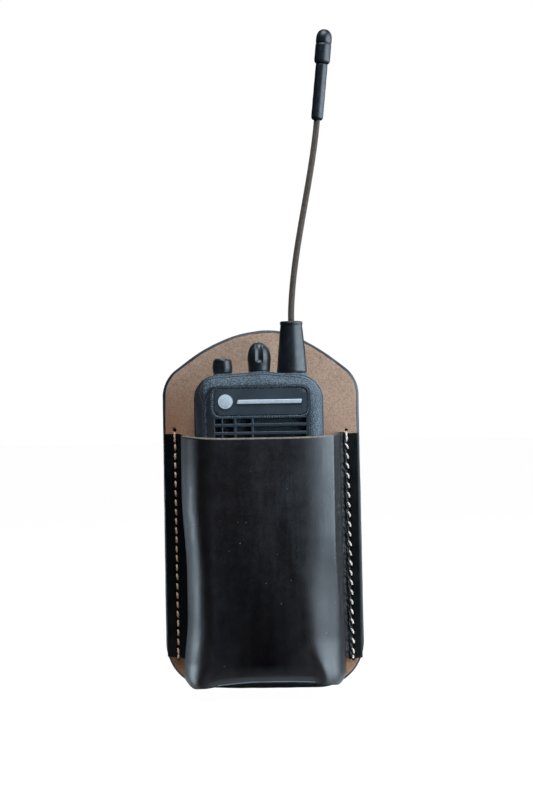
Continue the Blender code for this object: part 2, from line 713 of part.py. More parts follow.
def speaker():
    radio_box("grille_felt", 23.0, (-39.0, -38.6), (98.0, 130.5), "felt")
    for name, profile, mat, y in (
        ("speaker_basket", BASKET, "steel", -30.7),
        ("speaker_cone", CONE, "paper_cone", -31.3),
    ):
        turned(name, profile, mat, (RADIO_X, y, SPEAKER_Z), FACE_FORWARD, closed=True)
    rod("speaker_magnet", (RADIO_X, -29.45, SPEAKER_Z), 8.1, 2.9, "Y", 24, "magnet")
    span_z = widened((SPEAKER_Z, SPEAKER_Z), 4.0)
    radio_box("speaker_bracket", 21.0, (-27.6, -26.9), span_z, "steel")


def microphone():
    boot_loc = (RADIO_X, -37.0, MIC_Z)
    turned("microphone_boot", MIC_BOOT, "seal_rubber", boot_loc, FACE_FORWARD, 16, True)
    rod("microphone", (RADIO_X, -35.4, MIC_Z), 3.0, 1.9, "Y", 16, "tinplate")


# ------------------------------------------------------------------ boards
SHIELD_HALF = 19.0
SHIELD_Y = (-29.5, -26.1)
SHIELD_Z = (46.0, 92.0)
SHIELD_T = 0.4


def boards():
    radio_box("main_board", 22.5, (-25.8, -24.8), (18.0, 118.0), "board_green")
    shield = radio_box("rf_shield", SHIELD_HALF, SHIELD_Y, SHIELD_Z, "tinplate")
    inside_y = (SHIELD_Y[0] + SHIELD_T, -20.0)
    inside_z = widened(SHIELD_Z, -SHIELD_T)
    cut(shield, radio_box("cut_shield", SHIELD_HALF - SHIELD_T, inside_y, inside_z))
    box("control_board", (RADIO_X - 24.0, -30.0, 135.2), (8.0, -12.0, 136.2), "board_green")


# ------------------------------------------------------------------ switches and knobs
SWITCHES = (                  # name, centre, half width, shaft height above the deck
    ("volume", VOLUME_XY, 5.0, 5.2),
    ("channel", CHANNEL_XY, 5.4, 9.5),
)
SWITCH_Z = (136.6, 143.2)
NUT_Z = 144.9
SHAFT_LOW_Z = 140.4

VOLUME_R, VOLUME_H = 9.3 / 2, 7.0
CHANNEL_R, CHANNEL_H = 10.9 / 2, 14.0
DOME_LOW = 6.4                # where the channel knob's dome begins
KNOB_BORE_R = 1.9
KNOB_LOW = 0.35


def switch(name, centre, half, shaft_rise):
    x, y = centre
    spans = widened((x, x), half), widened((y, y), half)
    body = span_box(f"{name}_switch_body", *spans, SWITCH_Z, "tinplate")
    cut(body, rod(f"bush_{name}", (x, y, 145.6), 2.9, 6.4), "UNION")
    cut(body, rod(f"cut_bush_{name}", (x, y, 146.0), 1.95, 12.0))
    nut = rod(f"{name}_nut", (x, y, NUT_Z), 4.6, 1.8, "Z", 6, "brass")
    cut(nut, rod(f"cut_nut_{name}", (x, y, NUT_Z), 3.3, 6.0))
    top = DECK_Z + shaft_rise
    middle = (x, y, (SHAFT_LOW_Z + top) / 2)
    rod(f"{name}_shaft", middle, 1.5, top - SHAFT_LOW_Z, mat="steel")


def knob(name, profile, bore_top, loc, steps):
    """A knob from its outside profile, top down, with a blind bore from below."""
    bore = [(KNOB_BORE_R, profile[-1][1]), (KNOB_BORE_R, bore_top), (0.0, bore_top)]
    turned(name, profile + bore, "knob_rubber", loc, steps=steps)


def volume_knob():
    profile = [
        (0.0, VOLUME_H), (3.3, VOLUME_H), (4.0, VOLUME_H - 0.9),
        (VOLUME_R, 3.4), (VOLUME_R, 1.2), (VOLUME_R - 0.25, KNOB_LOW),
    ]
    knob("volume_knob", profile, 5.6, (*VOLUME_XY, DECK_Z), 12)


def channel_knob():
    profile = [(0.0, CHANNEL_H)]
    for k in range(1, 8):
        angle = math.pi / 2 * k / 7
        height = DOME_LOW + (CHANNEL_H - DOME_LOW) * math.cos(angle)
        profile.append((CHANNEL_R * math.sin(angle) ** 0.9, height))
    profile += [
        (CHANNEL_R - 0.15, 4.4), (CHANNEL_R - 0.7, 1.6), (CHANNEL_R - 0.95, KNOB_LOW + 0.4),
    ]
    knob("channel_knob", profile, 10.0, (*CHANNEL_XY, DECK_Z + 0.5), 24)


# ------------------------------------------------------------------ antenna
ANTENNA_LOW_Z, ANTENNA_TOP_Z = 149.6, 173.3
ANTENNA_LOW_R, ANTENNA_TOP_R = 7.0, 5.2
WHIP_R = 1.4
WHIP_ROOT_Z = 168.0
WHIP_STRAIGHT_Z = 176.0
WHIP_END_Z = 268.5
WHIP_LEAN = 13.8
WHIP_CUBIC = (0.226, 1.931, -1.157)   # share of the lean: terms in t, t squared, t cubed
WHIP_STEPS = 20
TIP_TILT = math.radians(6.0)
TIP_DIR = Vector((math.sin(TIP_TILT), 0.0, math.cos(TIP_TILT)))
SLEEVE_R, SLEEVE_L = 2.8, 26.0
CAP_R, CAP_L = 3.7, 15.6


def antenna_mount():
    """Socket in the housing, and the stud that screws into it."""
    profile = [(4.2, 6.2), (4.2, -6.0), (2.9, -6.0), (2.9, 6.2)]
    turned("antenna_socket", profile, "brass", (*ANTENNA_XY, 141.6), steps=20, closed=True)
    profile = [(0.0, 158.0), (2.5, 158.0), (2.5, 138.4), (1.9, 137.6), (0.0, 137.6)]
    turned("antenna_stud", profile, "brass", (*ANTENNA_XY, 0), steps=16)


def antenna_base():
    low, top = ANTENNA_LOW_Z, ANTENNA_TOP_Z
    low_r, top_r = ANTENNA_LOW_R, ANTENNA_TOP_R
    whip_bore = WHIP_R + 0.45
    profile = [
        (0.0, top - 6.4), (whip_bore, top - 6.4), (whip_bore, top), (top_r - 0.7, top),
        (top_r + 0.05, top - 0.6), (top_r + 0.05, top - 1.5), (top_r - 0.1, top - 1.9),
        (low_r - 0.2, low + 1.8), (low_r, low + 1.0), (low_r, low + 0.25), (low_r - 0.25, low),
        (2.95, low), (2.95, low + 9.2), (0.0, low + 9.2),
    ]
    turned("antenna_base", profile, "antenna_rubber", (*ANTENNA_XY, 0), steps=28)


def whip_point(z):
    t = max(0.0, (z - WHIP_STRAIGHT_Z) / (WHIP_END_Z - WHIP_STRAIGHT_Z))
    share = sum(factor * t ** power for power, factor in enumerate(WHIP_CUBIC, 1))
    return ANTENNA_XY[0] + WHIP_LEAN * share, ANTENNA_XY[1], z


def antenna_whip():
    """The whip, with the sleeve and cap at its tip."""
    heights = [WHIP_ROOT_Z]
    for k in range(WHIP_STEPS + 1):
        heights.append(lerp(WHIP_STRAIGHT_Z, WHIP_END_Z, k / WHIP_STEPS))
    end = Vector(whip_point(WHIP_END_Z))
    points = [whip_point(z) for z in heights] + [tuple(end + TIP_DIR * 5.0)]
    wire("antenna_whip", points, WHIP_R, "cable_braid")

    tilt = (0, TIP_TILT, 0)
    sleeve_low = end - TIP_DIR * 1.2
    bore = WHIP_R + 0.35
    profile = [
        (0.0, SLEEVE_L), (SLEEVE_R - 0.3, SLEEVE_L), (SLEEVE_R, SLEEVE_L - 0.5),
        (SLEEVE_R, 2.2), (SLEEVE_R - 0.9, 0.0), (bore, 0.0), (bore, 7.0), (0.0, 7.0),
    ]
    turned("antenna_tip_sleeve", profile, "antenna_rubber", sleeve_low, tilt, 20)
    cap_low = sleeve_low + TIP_DIR * (SLEEVE_L + GAP)
    profile = [
        (0.0, CAP_L), (1.6, CAP_L - 0.25), (2.9, CAP_L - 1.2), (CAP_R - 0.1, CAP_L - 3.0),
        (CAP_R, CAP_L - 5.0), (CAP_R, 1.0), (CAP_R - 0.5, 0.3), (CAP_R - 1.0, 0.0), (0.0, 0.0),
    ]
    turned("antenna_tip_cap", profile, "antenna_rubber", cap_low, tilt, 20)


# ------------------------------------------------------------------ indicator, buttons, connector
def led_lens():
    profile = [(0.0, 151.0), (0.9, 150.7), (1.4, 150.0), (1.4, 145.5), (0.0, 145.5)]
    turned("led_lens", profile, "lens", (*LED_XY, 0), steps=14)


def side_button(name, span_z, proud):
    """A rubber pad with a flange inside the wall."""
    inside = RADIO_LEFT + WALL
    pad_x = (RADIO_LEFT - proud, inside + 1.2)
    pad = span_box(name, pad_x, BUTTON_Y, span_z, "knob_rubber", 0.8, 2)
    flange_x = (inside + 0.8, inside + 1.5)
    flange = span_box(f"flange_{name}", flange_x, widened(BUTTON_Y, 0.9), widened(span_z, 0.9))
    cut(pad, flange, "UNION")


def side_controls():
    for _, name, span_z, proud in SIDE_BUTTONS:
        side_button(name, span_z, proud)
    seal_x = (RADIO_LEFT + 5.5, RADIO_LEFT + 6.0)
    span_box("ptt_seal", seal_x, (-36.0, -28.2), (75.0, 119.0), "seal_rubber")
    switch_x = (RADIO_LEFT + 6.4, RADIO_LEFT + 9.0)
    span_box("ptt_switch", switch_x, (-33.5, -29.5), (93.0, 101.0), "plate_plastic")


def accessory_connector():
    """Jack block in the right wall, with its screwed cover outside."""
    block_x = (RADIO_RIGHT - WALL - 1.5, RADIO_RIGHT - 0.3)
    span_box("accessory_jack_block", block_x, JACK_Y, JACK_Z, "plate_plastic")
    cover_x, cover_y = (RADIO_RIGHT + 0.35, RADIO_RIGHT + 1.9), (-35.2, -25.6)
    cover = span_box(
        "accessory_cover", cover_x, cover_y, (84.0, 112.0), "housing_plastic", 0.5,
    )
    screw_at = (RADIO_RIGHT, *COVER_SCREW_YZ)
    head_at = (RADIO_RIGHT + 2.2, *COVER_SCREW_YZ)
    cut(cover, rod("cut_cover_shank", screw_at, COVER_BORE_R, 10.0, "X", 12))
    cut(cover, rod("cut_cover_head", head_at, 3.1, 2.4, "X", 16))
    profile = [
        (0.0, 2.3), (2.3, 2.3), (2.6, 2.0), (2.6, 1.3),
        (1.2, 1.3), (1.2, -3.4), (0.9, -3.8), (0.0, -3.8),
    ]
    rot = (0, math.pi / 2, 0)
    screw = turned("accessory_cover_screw", profile, "steel", screw_at, rot, 16)
    slot_x = (RADIO_RIGHT + 1.9, RADIO_RIGHT + 4.0)
    cut(screw, span_box("cut_screw_slot", slot_x, (-34.0, -26.0), (108.0, 108.8)))


# ------------------------------------------------------------------ battery
BATTERY_X = (RADIO_LEFT + 0.4, RADIO_RIGHT - 0.4)
BATTERY_Z = (RADIO_LOW_Z, 118.3)
CASE_WALL = 1.5
CASE_FLOOR = 4.8              # thickness at the bottom, where the latch sits
SPRING_TURNS, SPRING_STEPS = 3, 10
SPRING_R, SPRING_L = 0.9, 2.2


def battery_case():
    hollow_x = widened(BATTERY_X, -CASE_WALL)
    hollow_z = (BATTERY_Z[0] + CASE_FLOOR, BATTERY_Z[1] - CASE_WALL)
    tray = span_box("battery_case_front", BATTERY_X, (-19.2, -10.0), BATTERY_Z, "battery_plastic")
    bevel(tray, 1.2, 1, 60)
    cut(tray, span_box("cut_tray", hollow_x, (-17.7, 0.0), hollow_z))
    window = CONTACT_HALF + OPENING_GAP, (-25.0, -15.0), widened(CONTACT_Z, OPENING_GAP)
    cut(tray, radio_box("cut_tray_window", *window))
    latch_z = (BATTERY_Z[0] - 3.0, BATTERY_Z[0] + 3.3)
    cut(tray, radio_box("cut_latch", 10.0, (-18.0, -11.4), latch_z))
    lid = span_box("battery_case_rear", BATTERY_X, (-9.7, REAR_Y), BATTERY_Z, "battery_plastic")
    bevel(lid, 1.6, 2, 60)
    cut(lid, span_box("cut_lid", hollow_x, (-20.0, REAR_Y - CASE_WALL), hollow_z))


def battery_inside():
    """Cells and the two halves of the contact."""
    for label, span_x in (
        ("left", (BATTERY_X[0] + 2.0, RADIO_X - 0.4)),
        ("right", (RADIO_X + 0.4, BATTERY_X[1] - 2.0)),
    ):
        name = f"battery_cell_{label}"
        span_box(name, span_x, (-17.0, -6.2), (19.0, 98.0), "cell_wrap", 1.6, 2)
    radio_box("battery_contact_plate", CONTACT_HALF, (-19.0, -17.4), CONTACT_Z, "brass")
    radio_box("radio_contact_block", CONTACT_HALF, (-23.8, -19.7), CONTACT_Z, "plate_plastic")


def battery_latch():
    low = BATTERY_Z[0]
    radio_box("battery_latch", 9.5, (-17.6, -14.6), (low, low + 2.8), "battery_plastic", 0.3)
    coil = []
    count = SPRING_TURNS * SPRING_STEPS
    for k in range(count + 1):
        angle = math.tau * k / SPRING_STEPS
        coil.append((
            RADIO_X + SPRING_R * math.cos(angle),
            -14.1 + SPRING_L * k / count,
            low + 1.5 + SPRING_R * math.sin(angle),
        ))
    wire("latch_spring", coil, 0.2, "steel", False, 0)


# ------------------------------------------------------------------ joint pivots
PIVOTS = {                    # empties for posing by hand: place, children
    "volume_turn": ((*VOLUME_XY, DECK_Z), ("volume_knob", "volume_shaft")),
    "channel_turn": ((*CHANNEL_XY, DECK_Z), ("channel_knob", "channel_shaft")),
    "antenna_turn": ((*ANTENNA_XY, DECK_Z), ("antenna_base", "antenna_stud")),
    "whip_bend": (
        (ANTENNA_XY[0] + 0.9, ANTENNA_XY[1], 198.0),
        ("antenna_whip", "antenna_tip_sleeve", "antenna_tip_cap"),
    ),
}


def pivots():
    for name, (place, children) in PIVOTS.items():
        pivot = bpy.data.objects.new(name, None)
        pivot.location = Vector(place) * MM
        PARTS.objects.link(pivot)
        bpy.context.view_layer.update()
        for child_name in children:
            child = bpy.data.objects[child_name]
            child.parent = pivot
            child.matrix_parent_inverse = pivot.matrix_world.inverted()


# ------------------------------------------------------------------ assembly
shared_holes = back_panel()
pocket()
seam_threads()
belt_loop(shared_holes)
front_housing()
rear_chassis()
main_seal()
chassis_screws()
nameplate()
speaker()
microphone()
boards()
for switch_row in SWITCHES:
    switch(*switch_row)
volume_knob()
channel_knob()
antenna_mount()
antenna_base()
antenna_whip()
led_lens()
side_controls()
accessory_connector()
battery_case()
battery_inside()
battery_latch()
pivots()
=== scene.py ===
# A handheld radio standing in a stitched leather holster with a belt loop behind.
# Z is up, the front faces -Y and left is -X. Lengths are in mm; make() turns them into metres.
import json
import math
from contextlib import contextmanager
from typing import NamedTuple

import bmesh
import bpy
import numpy as np
from mathutils import Matrix, Vector, noise


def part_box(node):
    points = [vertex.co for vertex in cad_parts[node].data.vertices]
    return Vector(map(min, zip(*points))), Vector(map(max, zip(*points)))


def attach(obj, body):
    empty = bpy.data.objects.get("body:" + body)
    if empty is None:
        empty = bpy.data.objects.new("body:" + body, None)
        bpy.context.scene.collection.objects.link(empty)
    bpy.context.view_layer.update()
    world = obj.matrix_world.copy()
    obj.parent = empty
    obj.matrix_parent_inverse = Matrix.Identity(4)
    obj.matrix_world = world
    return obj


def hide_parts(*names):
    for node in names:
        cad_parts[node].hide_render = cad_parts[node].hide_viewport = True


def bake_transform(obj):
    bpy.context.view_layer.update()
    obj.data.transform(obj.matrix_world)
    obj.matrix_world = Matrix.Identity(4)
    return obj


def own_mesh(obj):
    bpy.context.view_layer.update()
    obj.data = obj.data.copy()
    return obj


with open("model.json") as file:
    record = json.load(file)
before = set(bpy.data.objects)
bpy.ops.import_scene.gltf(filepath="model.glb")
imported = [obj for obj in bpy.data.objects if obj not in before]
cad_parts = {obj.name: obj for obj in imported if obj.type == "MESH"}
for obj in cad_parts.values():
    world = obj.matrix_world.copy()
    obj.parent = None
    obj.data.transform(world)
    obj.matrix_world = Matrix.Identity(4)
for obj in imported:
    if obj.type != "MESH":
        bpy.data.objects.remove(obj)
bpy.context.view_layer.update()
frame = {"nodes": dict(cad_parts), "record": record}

MM = 0.001
RNG = np.random.default_rng(7)


# ==================================================================================
# Places read from the CAD pieces
# ==================================================================================
class Turned(NamedTuple):
    """The upright axis, foot, radius and height of a turned piece."""
    x: float
    y: float
    bottom: float
    radius: float
    height: float


def box(node):
    low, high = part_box(node)
    return [v * 1000 for v in low], [v * 1000 for v in high]


def middle(low, high):
    return [(a + b) / 2 for a, b in zip(low, high)]


def turned_box(node):
    low, high = box(node)
    x, y, _ = middle(low, high)
    return Turned(x, y, low[2], (high[0] - low[0]) / 2, high[2] - low[2])


PANEL_LOW, PANEL_HIGH = box("holster_back_panel")
HOUSING_LOW, HOUSING_HIGH = box("front_housing")
BOOT = turned_box("antenna_base")
VOLUME = turned_box("volume_knob")
CHANNEL = turned_box("channel_knob")
LEFT_X, FRONT_Y, HOUSING_BOTTOM = HOUSING_LOW
RIGHT_X = HOUSING_HIGH[0]
MIDDLE_X = (LEFT_X + RIGHT_X) / 2
LEATHER = 2.2       # thickness of the pocket and the belt loop
FLANGE_Y = -4.9     # outer face of the pocket's sewing flanges


# ==================================================================================
# Numbers and curves
# ==================================================================================
def mm(*lengths):
    return [v * MM for v in lengths]


def lerp(a, b, t):
    return a + (b - a) * t


def smoothstep(start, end, value):
    """Eases from 0 at start to 1 at end; start may be the larger."""
    t = np.clip((np.asarray(value, float) - start) / (end - start), 0, 1)
    return t * t * (3 - 2 * t)


def roll(share):
    """Depth of a unit quarter round: 0 at share 0, 1 at share 1."""
    return 1 - math.sqrt(max(0.0, 1 - share * share))


def angle_off(angle, centre):
    """Signed angle from centre to angle, within half a turn."""
    return (angle - centre + math.pi) % math.tau - math.pi


def fbm(point, scale, octaves, seed):
    """Smooth noise of a point in mm, about -1 to 1."""
    x, y, z = point
    place = Vector((x / scale + seed, y / scale - seed, z / scale + 2 * seed))
    return noise.fractal(place, 1.0, 2.0, octaves)


def unit(vectors):
    return vectors / np.maximum(np.linalg.norm(vectors, axis=-1, keepdims=True), 1e-9)


def tangents(path):
    return unit(np.gradient(path, axis=0))


def relax(points, rounds):
    """Smooths an array of points in place, keeping both ends."""
    for _ in range(rounds):
        points[1:-1] = 0.25 * points[:-2] + 0.5 * points[1:-1] + 0.25 * points[2:]


def bezier(p0, p1, p2, p3, count, end=False):
    points = []
    for i in range(count + end):
        t = i / count
        u = 1 - t
        points.append(p0 * u ** 3 + p1 * (3 * t * u ** 2) + p2 * (3 * t * t * u) + p3 * t ** 3)
    return points


# ==================================================================================
# Outlines and rings
# ==================================================================================
def rounded_outline(corners, per_arc, step, like=None):
    """A closed outline from corners (x, z, radius): arcs of per_arc segments, straights cut
    about every step. like: corners that set the number of cuts, so inset outlines match."""
    like = like or corners
    count = len(corners)
    arcs = []
    for i, (x, z, radius) in enumerate(corners):
        corner = Vector((x, z))
        back = (Vector(corners[i - 1][:2]) - corner).normalized()
        ahead = (Vector(corners[(i + 1) % count][:2]) - corner).normalized()
        half = back.angle(ahead) / 2
        radius = max(radius, 0.02)
        reach = radius / math.tan(half)
        centre = corner + (back + ahead).normalized() * (radius / math.sin(half))
        start = corner + back * reach - centre
        end = corner + ahead * reach - centre
        sweep = math.atan2(start.x * end.y - start.y * end.x, start.dot(end))
        arc = []
        for k in range(per_arc + 1):
            turn = sweep * k / per_arc
            cos, sin = math.cos(turn), math.sin(turn)
            arc.append((
                centre.x + start.x * cos - start.y * sin,
                centre.y + start.x * sin + start.y * cos,
            ))
        arcs.append(arc)
    points = []
    for i, arc in enumerate(arcs):
        points += arc
        target = arcs[(i + 1) % count][0]
        span = math.dist(like[i][:2], like[(i + 1) % count][:2])
        cuts = max(1, int(span // step))
        for k in range(1, cuts):
            points.append(tuple(lerp(arc[-1][c], target[c], k / cuts) for c in (0, 1)))
    return points


def rounded_rect(rect, grow, radius, per_arc, step):
    """rect is (x0, z0, x1, z1), grown on every side."""
    x0, z0, x1, z1 = rect
    x0, z0, x1, z1 = x0 - grow, z0 - grow, x1 + grow, z1 + grow
    corners = [(x0, z0, radius), (x1, z0, radius), (x1, z1, radius), (x0, z1, radius)]
    return rounded_outline(corners, per_arc, step)


def outline_normals(outline):
    """The outline as an array, and its outward normals."""
    p = np.array(outline)
    along = unit(np.roll(p, -1, 0) - np.roll(p, 1, 0))
    normals = np.stack([along[:, 1], -along[:, 0]], 1)
    area = np.sum(p[:, 0] * np.roll(p[:, 1], -1) - np.roll(p[:, 0], -1) * p[:, 1])
    return p, normals if area > 0 else -normals


def circle(a, b, radius, steps):
    turns = [math.tau * i / steps for i in range(steps)]
    return [(a + radius * math.cos(t), b + radius * math.sin(t)) for t in turns]


def at_y(outline, y):
    return [(x, y, z) for x, z in outline]


def at_z(outline, z):
    return [(x, y, z) for x, y in outline]


def stack(rings, capped=False):
    """Vertices and faces of stacked closed rings with equal counts."""
    n = len(rings[0])
    verts = [v for ring in rings for v in ring]
    faces = []
    for k in range(len(rings) - 1):
        for i in range(n):
            j = (i + 1) % n
            faces.append((k * n + i, k * n + j, (k + 1) * n + j, (k + 1) * n + i))
    if capped:
        faces.append(tuple(range(n - 1, -1, -1)))
        faces.append(tuple((len(rings) - 1) * n + i for i in range(n)))
    return verts, faces


# ==================================================================================
# Meshes
# ==================================================================================
def make(name, verts, faces, mats=(), face_mats=None, smooth=True, sharp=None):
    """A linked mesh object from points in mm; sharp is the angle of its hard edges."""
    mesh = bpy.data.meshes.new(name)
    points = [tuple(float(c) * MM for c in v) for v in verts]
    mesh.from_pydata(points, [], [tuple(int(i) for i in f) for f in faces])
    for mat in mats if isinstance(mats, (list, tuple)) else [mats]:
        mesh.materials.append(mat)
    if face_mats is not None:
        mesh.polygons.foreach_set("material_index", np.asarray(face_mats, dtype=np.int32))
    mesh.validate()
    mesh.update()
    if smooth:
        mesh.shade_smooth()
        if sharp:
            mesh.set_sharp_from_angle(angle=math.radians(sharp))
    obj = bpy.data.objects.new(name, mesh)
    bpy.context.scene.collection.objects.link(obj)
    return obj


@contextmanager
def editing(obj):
    bm = bmesh.new()
    bm.from_mesh(obj.data)
    yield bm
    bm.to_mesh(obj.data)
    bm.free()


def face_outward(obj):
    with editing(obj) as bm:
        bmesh.ops.recalc_face_normals(bm, faces=bm.faces)
    return obj


def weld(obj):
    with editing(obj) as bm:
        bmesh.ops.remove_doubles(bm, verts=bm.verts, dist=1e-6)
        bmesh.ops.dissolve_degenerate(bm, edges=bm.edges, dist=1e-7)


def harden(obj, angle):
    """Smooth shading with edges over the angle kept hard."""
    obj.data.shade_smooth()
    obj.data.set_sharp_from_angle(angle=math.radians(angle))


def apply_modifiers(obj):
    bpy.context.view_layer.update()
    graph = bpy.context.evaluated_depsgraph_get()
    mesh = bpy.data.meshes.new_from_object(
        obj.evaluated_get(graph), preserve_all_data_layers=True, depsgraph=graph)
    old = obj.data
    obj.modifiers.clear()
    obj.data = mesh
    bpy.data.meshes.remove(old)


def cut(obj, cutters):
    for tool in cutters:
        modifier = obj.modifiers.new("cut", "BOOLEAN")
        modifier.operation = "DIFFERENCE"
        modifier.solver = "EXACT"
        modifier.object = tool
    apply_modifiers(obj)
    for tool in cutters:
        bpy.data.objects.remove(tool, do_unlink=True)


def solid(name, rings, mats=(), **shading):
    return face_outward(make(name, *stack(rings, capped=True), mats, **shading))


def cutter(rings):
    return solid("cutter", rings, smooth=False)


def block(low, high):
    x0, y0, z0 = low
    x1, y1, z1 = high
    verts = [(x, y, z) for z in (z0, z1) for x, y in ((x0, y0), (x1, y0), (x1, y1), (x0, y1))]
    faces = [(0, 3, 2, 1), (4, 5, 6, 7), (0, 1, 5, 4), (1, 2, 6, 5), (2, 3, 7, 6), (3, 0, 4, 7)]
    return make("cutter", verts, faces, smooth=False)


def cylinder(centre, radius, length, axis="Y", steps=32, mats=()):
    x, y, z = centre
    rings = []
    for shift in (-length / 2, length / 2):
        if axis == "Y":
            rings.append(at_y(circle(x, z, radius, steps), y + shift))
        elif axis == "Z":
            rings.append(at_z(circle(x, y, radius, steps), z + shift))
        else:
            rings.append([(x + shift, a, b) for a, b in circle(y, z, radius, steps)])
    return solid("cutter", rings, mats, smooth=False)


def hoop(name, rings, mats):
    """A piece whose last ring joins its first."""
    obj = make(name, *stack(rings + [rings[0]]), mats)
    weld(obj)
    return face_outward(obj)


def revolve(name, profile, mats, centre, steps, sharp, tilt=0.0, shape=None):
    """A turned piece: profile of (radius, height) from the top down, leaning tilt towards +X.
    shape(angle, radius, z) may change the radius."""
    rings = []
    for radius, z in profile:
        ring = []
        for i in range(steps):
            a = math.tau * i / steps
            r = shape(a, radius, z) if shape else radius
            ring.append((r * math.cos(a), r * math.sin(a), z))
        rings.append(ring)
    verts, faces = stack(rings)
    top = len(verts)
    verts += [(0, 0, profile[0][1]), (0, 0, profile[-1][1])]
    last = (len(rings) - 1) * steps
    for i in range(steps):
        j = (i + 1) % steps
        faces.append((top, j, i))
        faces.append((top + 1, last + i, last + j))
    placing = Matrix.Translation(Vector(centre)) @ Matrix.Rotation(tilt, 4, "Y")
    obj = face_outward(make(name, [placing @ Vector(v) for v in verts], faces, mats))
    obj.data.set_sharp_from_angle(angle=math.radians(sharp))
    return obj


class Parts:
    """Several closed solids gathered into one mesh."""

    def __init__(self):
        self.verts = []
        self.faces = []

    def add(self, rings):
        base = len(self.verts)
        verts, faces = stack(rings, capped=True)
        self.verts += verts
        self.faces += [tuple(i + base for i in face) for face in faces]

    def add_tube(self, path, radius, sides):
        """A tube along the path, its cross-section carried along without twisting."""
        path = np.array(path, float)
        along = tangents(path)
        upright = abs(along[0][1]) < 0.9
        reference = np.array([0.0, 1.0, 0.0]) if upright else np.array([1.0, 0.0, 0.0])
        u = unit(np.cross(along[0], reference))
        turns = [math.tau * i / sides for i in range(sides)]
        rings = []
        for point, ahead in zip(path, along):
            u = unit(u - ahead * np.dot(u, ahead))
            w = np.cross(ahead, u)
            rings.append([
                tuple(point + radius * (math.cos(t) * u + math.sin(t) * w)) for t in turns])
        self.add(rings)

    def build(self, name="cutter", mats=(), smooth=True):
        return face_outward(make(name, self.verts, self.faces, mats, smooth=smooth))


def place(obj, slot, body, replaces=None):
    if replaces:
        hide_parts(replaces)
    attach(obj, body)


# ==================================================================================
# Shader helpers
# ==================================================================================
class Shader:
    """A material with object coordinates, built up from procedural textures."""

    def __init__(self, name):
        self.material = bpy.data.materials.new(name)
        self.material.use_nodes = True
        self.tree = self.material.node_tree
        self.bsdf = self.tree.nodes["Principled BSDF"]
        self.coord = self.node("ShaderNodeTexCoord")
        self.normal = None

    def node(self, kind, **settings):
        node = self.tree.nodes.new(kind)
        for key, value in settings.items():
            setattr(node, key, value)
        return node

    def link(self, output, socket):
        self.tree.links.new(output, socket)

    def feed(self, socket, value):
        if isinstance(value, bpy.types.NodeSocket):
            self.link(value, socket)
        elif isinstance(value, (tuple, list)):
            socket.default_value = (*value, 1.0)
        else:
            socket.default_value = value

    def mapped(self, scale=(1, 1, 1), location=(0, 0, 0)):
        node = self.node("ShaderNodeMapping")
        node.inputs["Scale"].default_value = scale
        node.inputs["Location"].default_value = location
        self.link(self.coord.outputs["Object"], node.inputs["Vector"])
        return node.outputs["Vector"]

    def noise(self, scale, detail=4.0, rough=0.55, stretch=(1, 1, 1)):
        node = self.node("ShaderNodeTexNoise")
        node.inputs["Scale"].default_value = scale
        node.inputs["Detail"].default_value = detail
        node.inputs["Roughness"].default_value = rough
        node.inputs["Distortion"].default_value = 0.0
        self.link(self.mapped(stretch), node.inputs["Vector"])
        return node.outputs["Fac"]

    def voronoi(self, scale, feature="F1", randomness=1.0):
        node = self.node("ShaderNodeTexVoronoi", feature=feature)
        node.inputs["Scale"].default_value = scale
        node.inputs["Randomness"].default_value = randomness
        self.link(self.mapped(), node.inputs["Vector"])
        return node.outputs["Distance"]

    def ramp(self, value, stops):
        """stops are (position, colour)."""
        node = self.node("ShaderNodeValToRGB")
        elements = node.color_ramp.elements
        while len(elements) < len(stops):
            elements.new(0.5)
        for element, (position, color) in zip(elements, stops):
            element.position = position
            element.color = (*color, 1.0)
        self.link(value, node.inputs["Fac"])
        return node.outputs["Color"]

    def two_tone(self, value, low, high):
        return self.ramp(value, [(0.3, low), (0.7, high)])

    def remap(self, value, at, to=(0.0, 1.0)):
        """Maps the span at onto the span to, clamped."""
        node = self.node("ShaderNodeMapRange", clamp=True)
        for key, number in zip(("From Min", "From Max", "To Min", "To Max"), (*at, *to)):
            node.inputs[key].default_value = number
        self.link(value, node.inputs["Value"])
        return node.outputs["Result"]

    def math(self, operation, *values, clamp=False):
        node = self.node("ShaderNodeMath", operation=operation, use_clamp=clamp)
        for socket, value in zip(node.inputs, values):
            self.feed(socket, value)
        return node.outputs["Value"]

    def times(self, a, b):
        return self.math("MULTIPLY", a, b)

    def mix(self, share, a, b):
        """Colour a with a share of colour b."""
        node = self.node("ShaderNodeMix", data_type="RGBA", blend_type="MIX")
        self.feed(node.inputs["Factor"], share)
        self.feed(node.inputs[6], a)
        self.feed(node.inputs[7], b)
        return node.outputs[2]

    def axis(self, which):
        node = self.node("ShaderNodeSeparateXYZ")
        self.link(self.coord.outputs["Object"], node.inputs["Vector"])
        return node.outputs[which]

    def bump(self, height, depth, strength):
        """Relief of a depth in mm, on top of the relief so far."""
        node = self.node("ShaderNodeBump")
        node.inputs["Strength"].default_value = strength
        node.inputs["Distance"].default_value = depth * MM
        self.link(height, node.inputs["Height"])
        if self.normal is not None:
            self.link(self.normal, node.inputs["Normal"])
        self.normal = node.outputs["Normal"]
        self.link(self.normal, self.bsdf.inputs["Normal"])

    def finish(self, color, rough, **sockets):
        """Sets the surface; underscores in socket names stand for spaces."""
        for key, value in {"Base Color": color, "Roughness": rough, **sockets}.items():
            self.feed(self.bsdf.inputs[key.replace("_", " ")], value)
        return self.material


def srgb(*levels):
    """Linear colour from 0-255 levels."""
    shares = [level / 255 for level in levels]
    return tuple(c / 12.92 if c <= 0.04045 else ((c + 0.055) / 1.055) ** 2.4 for c in shares)


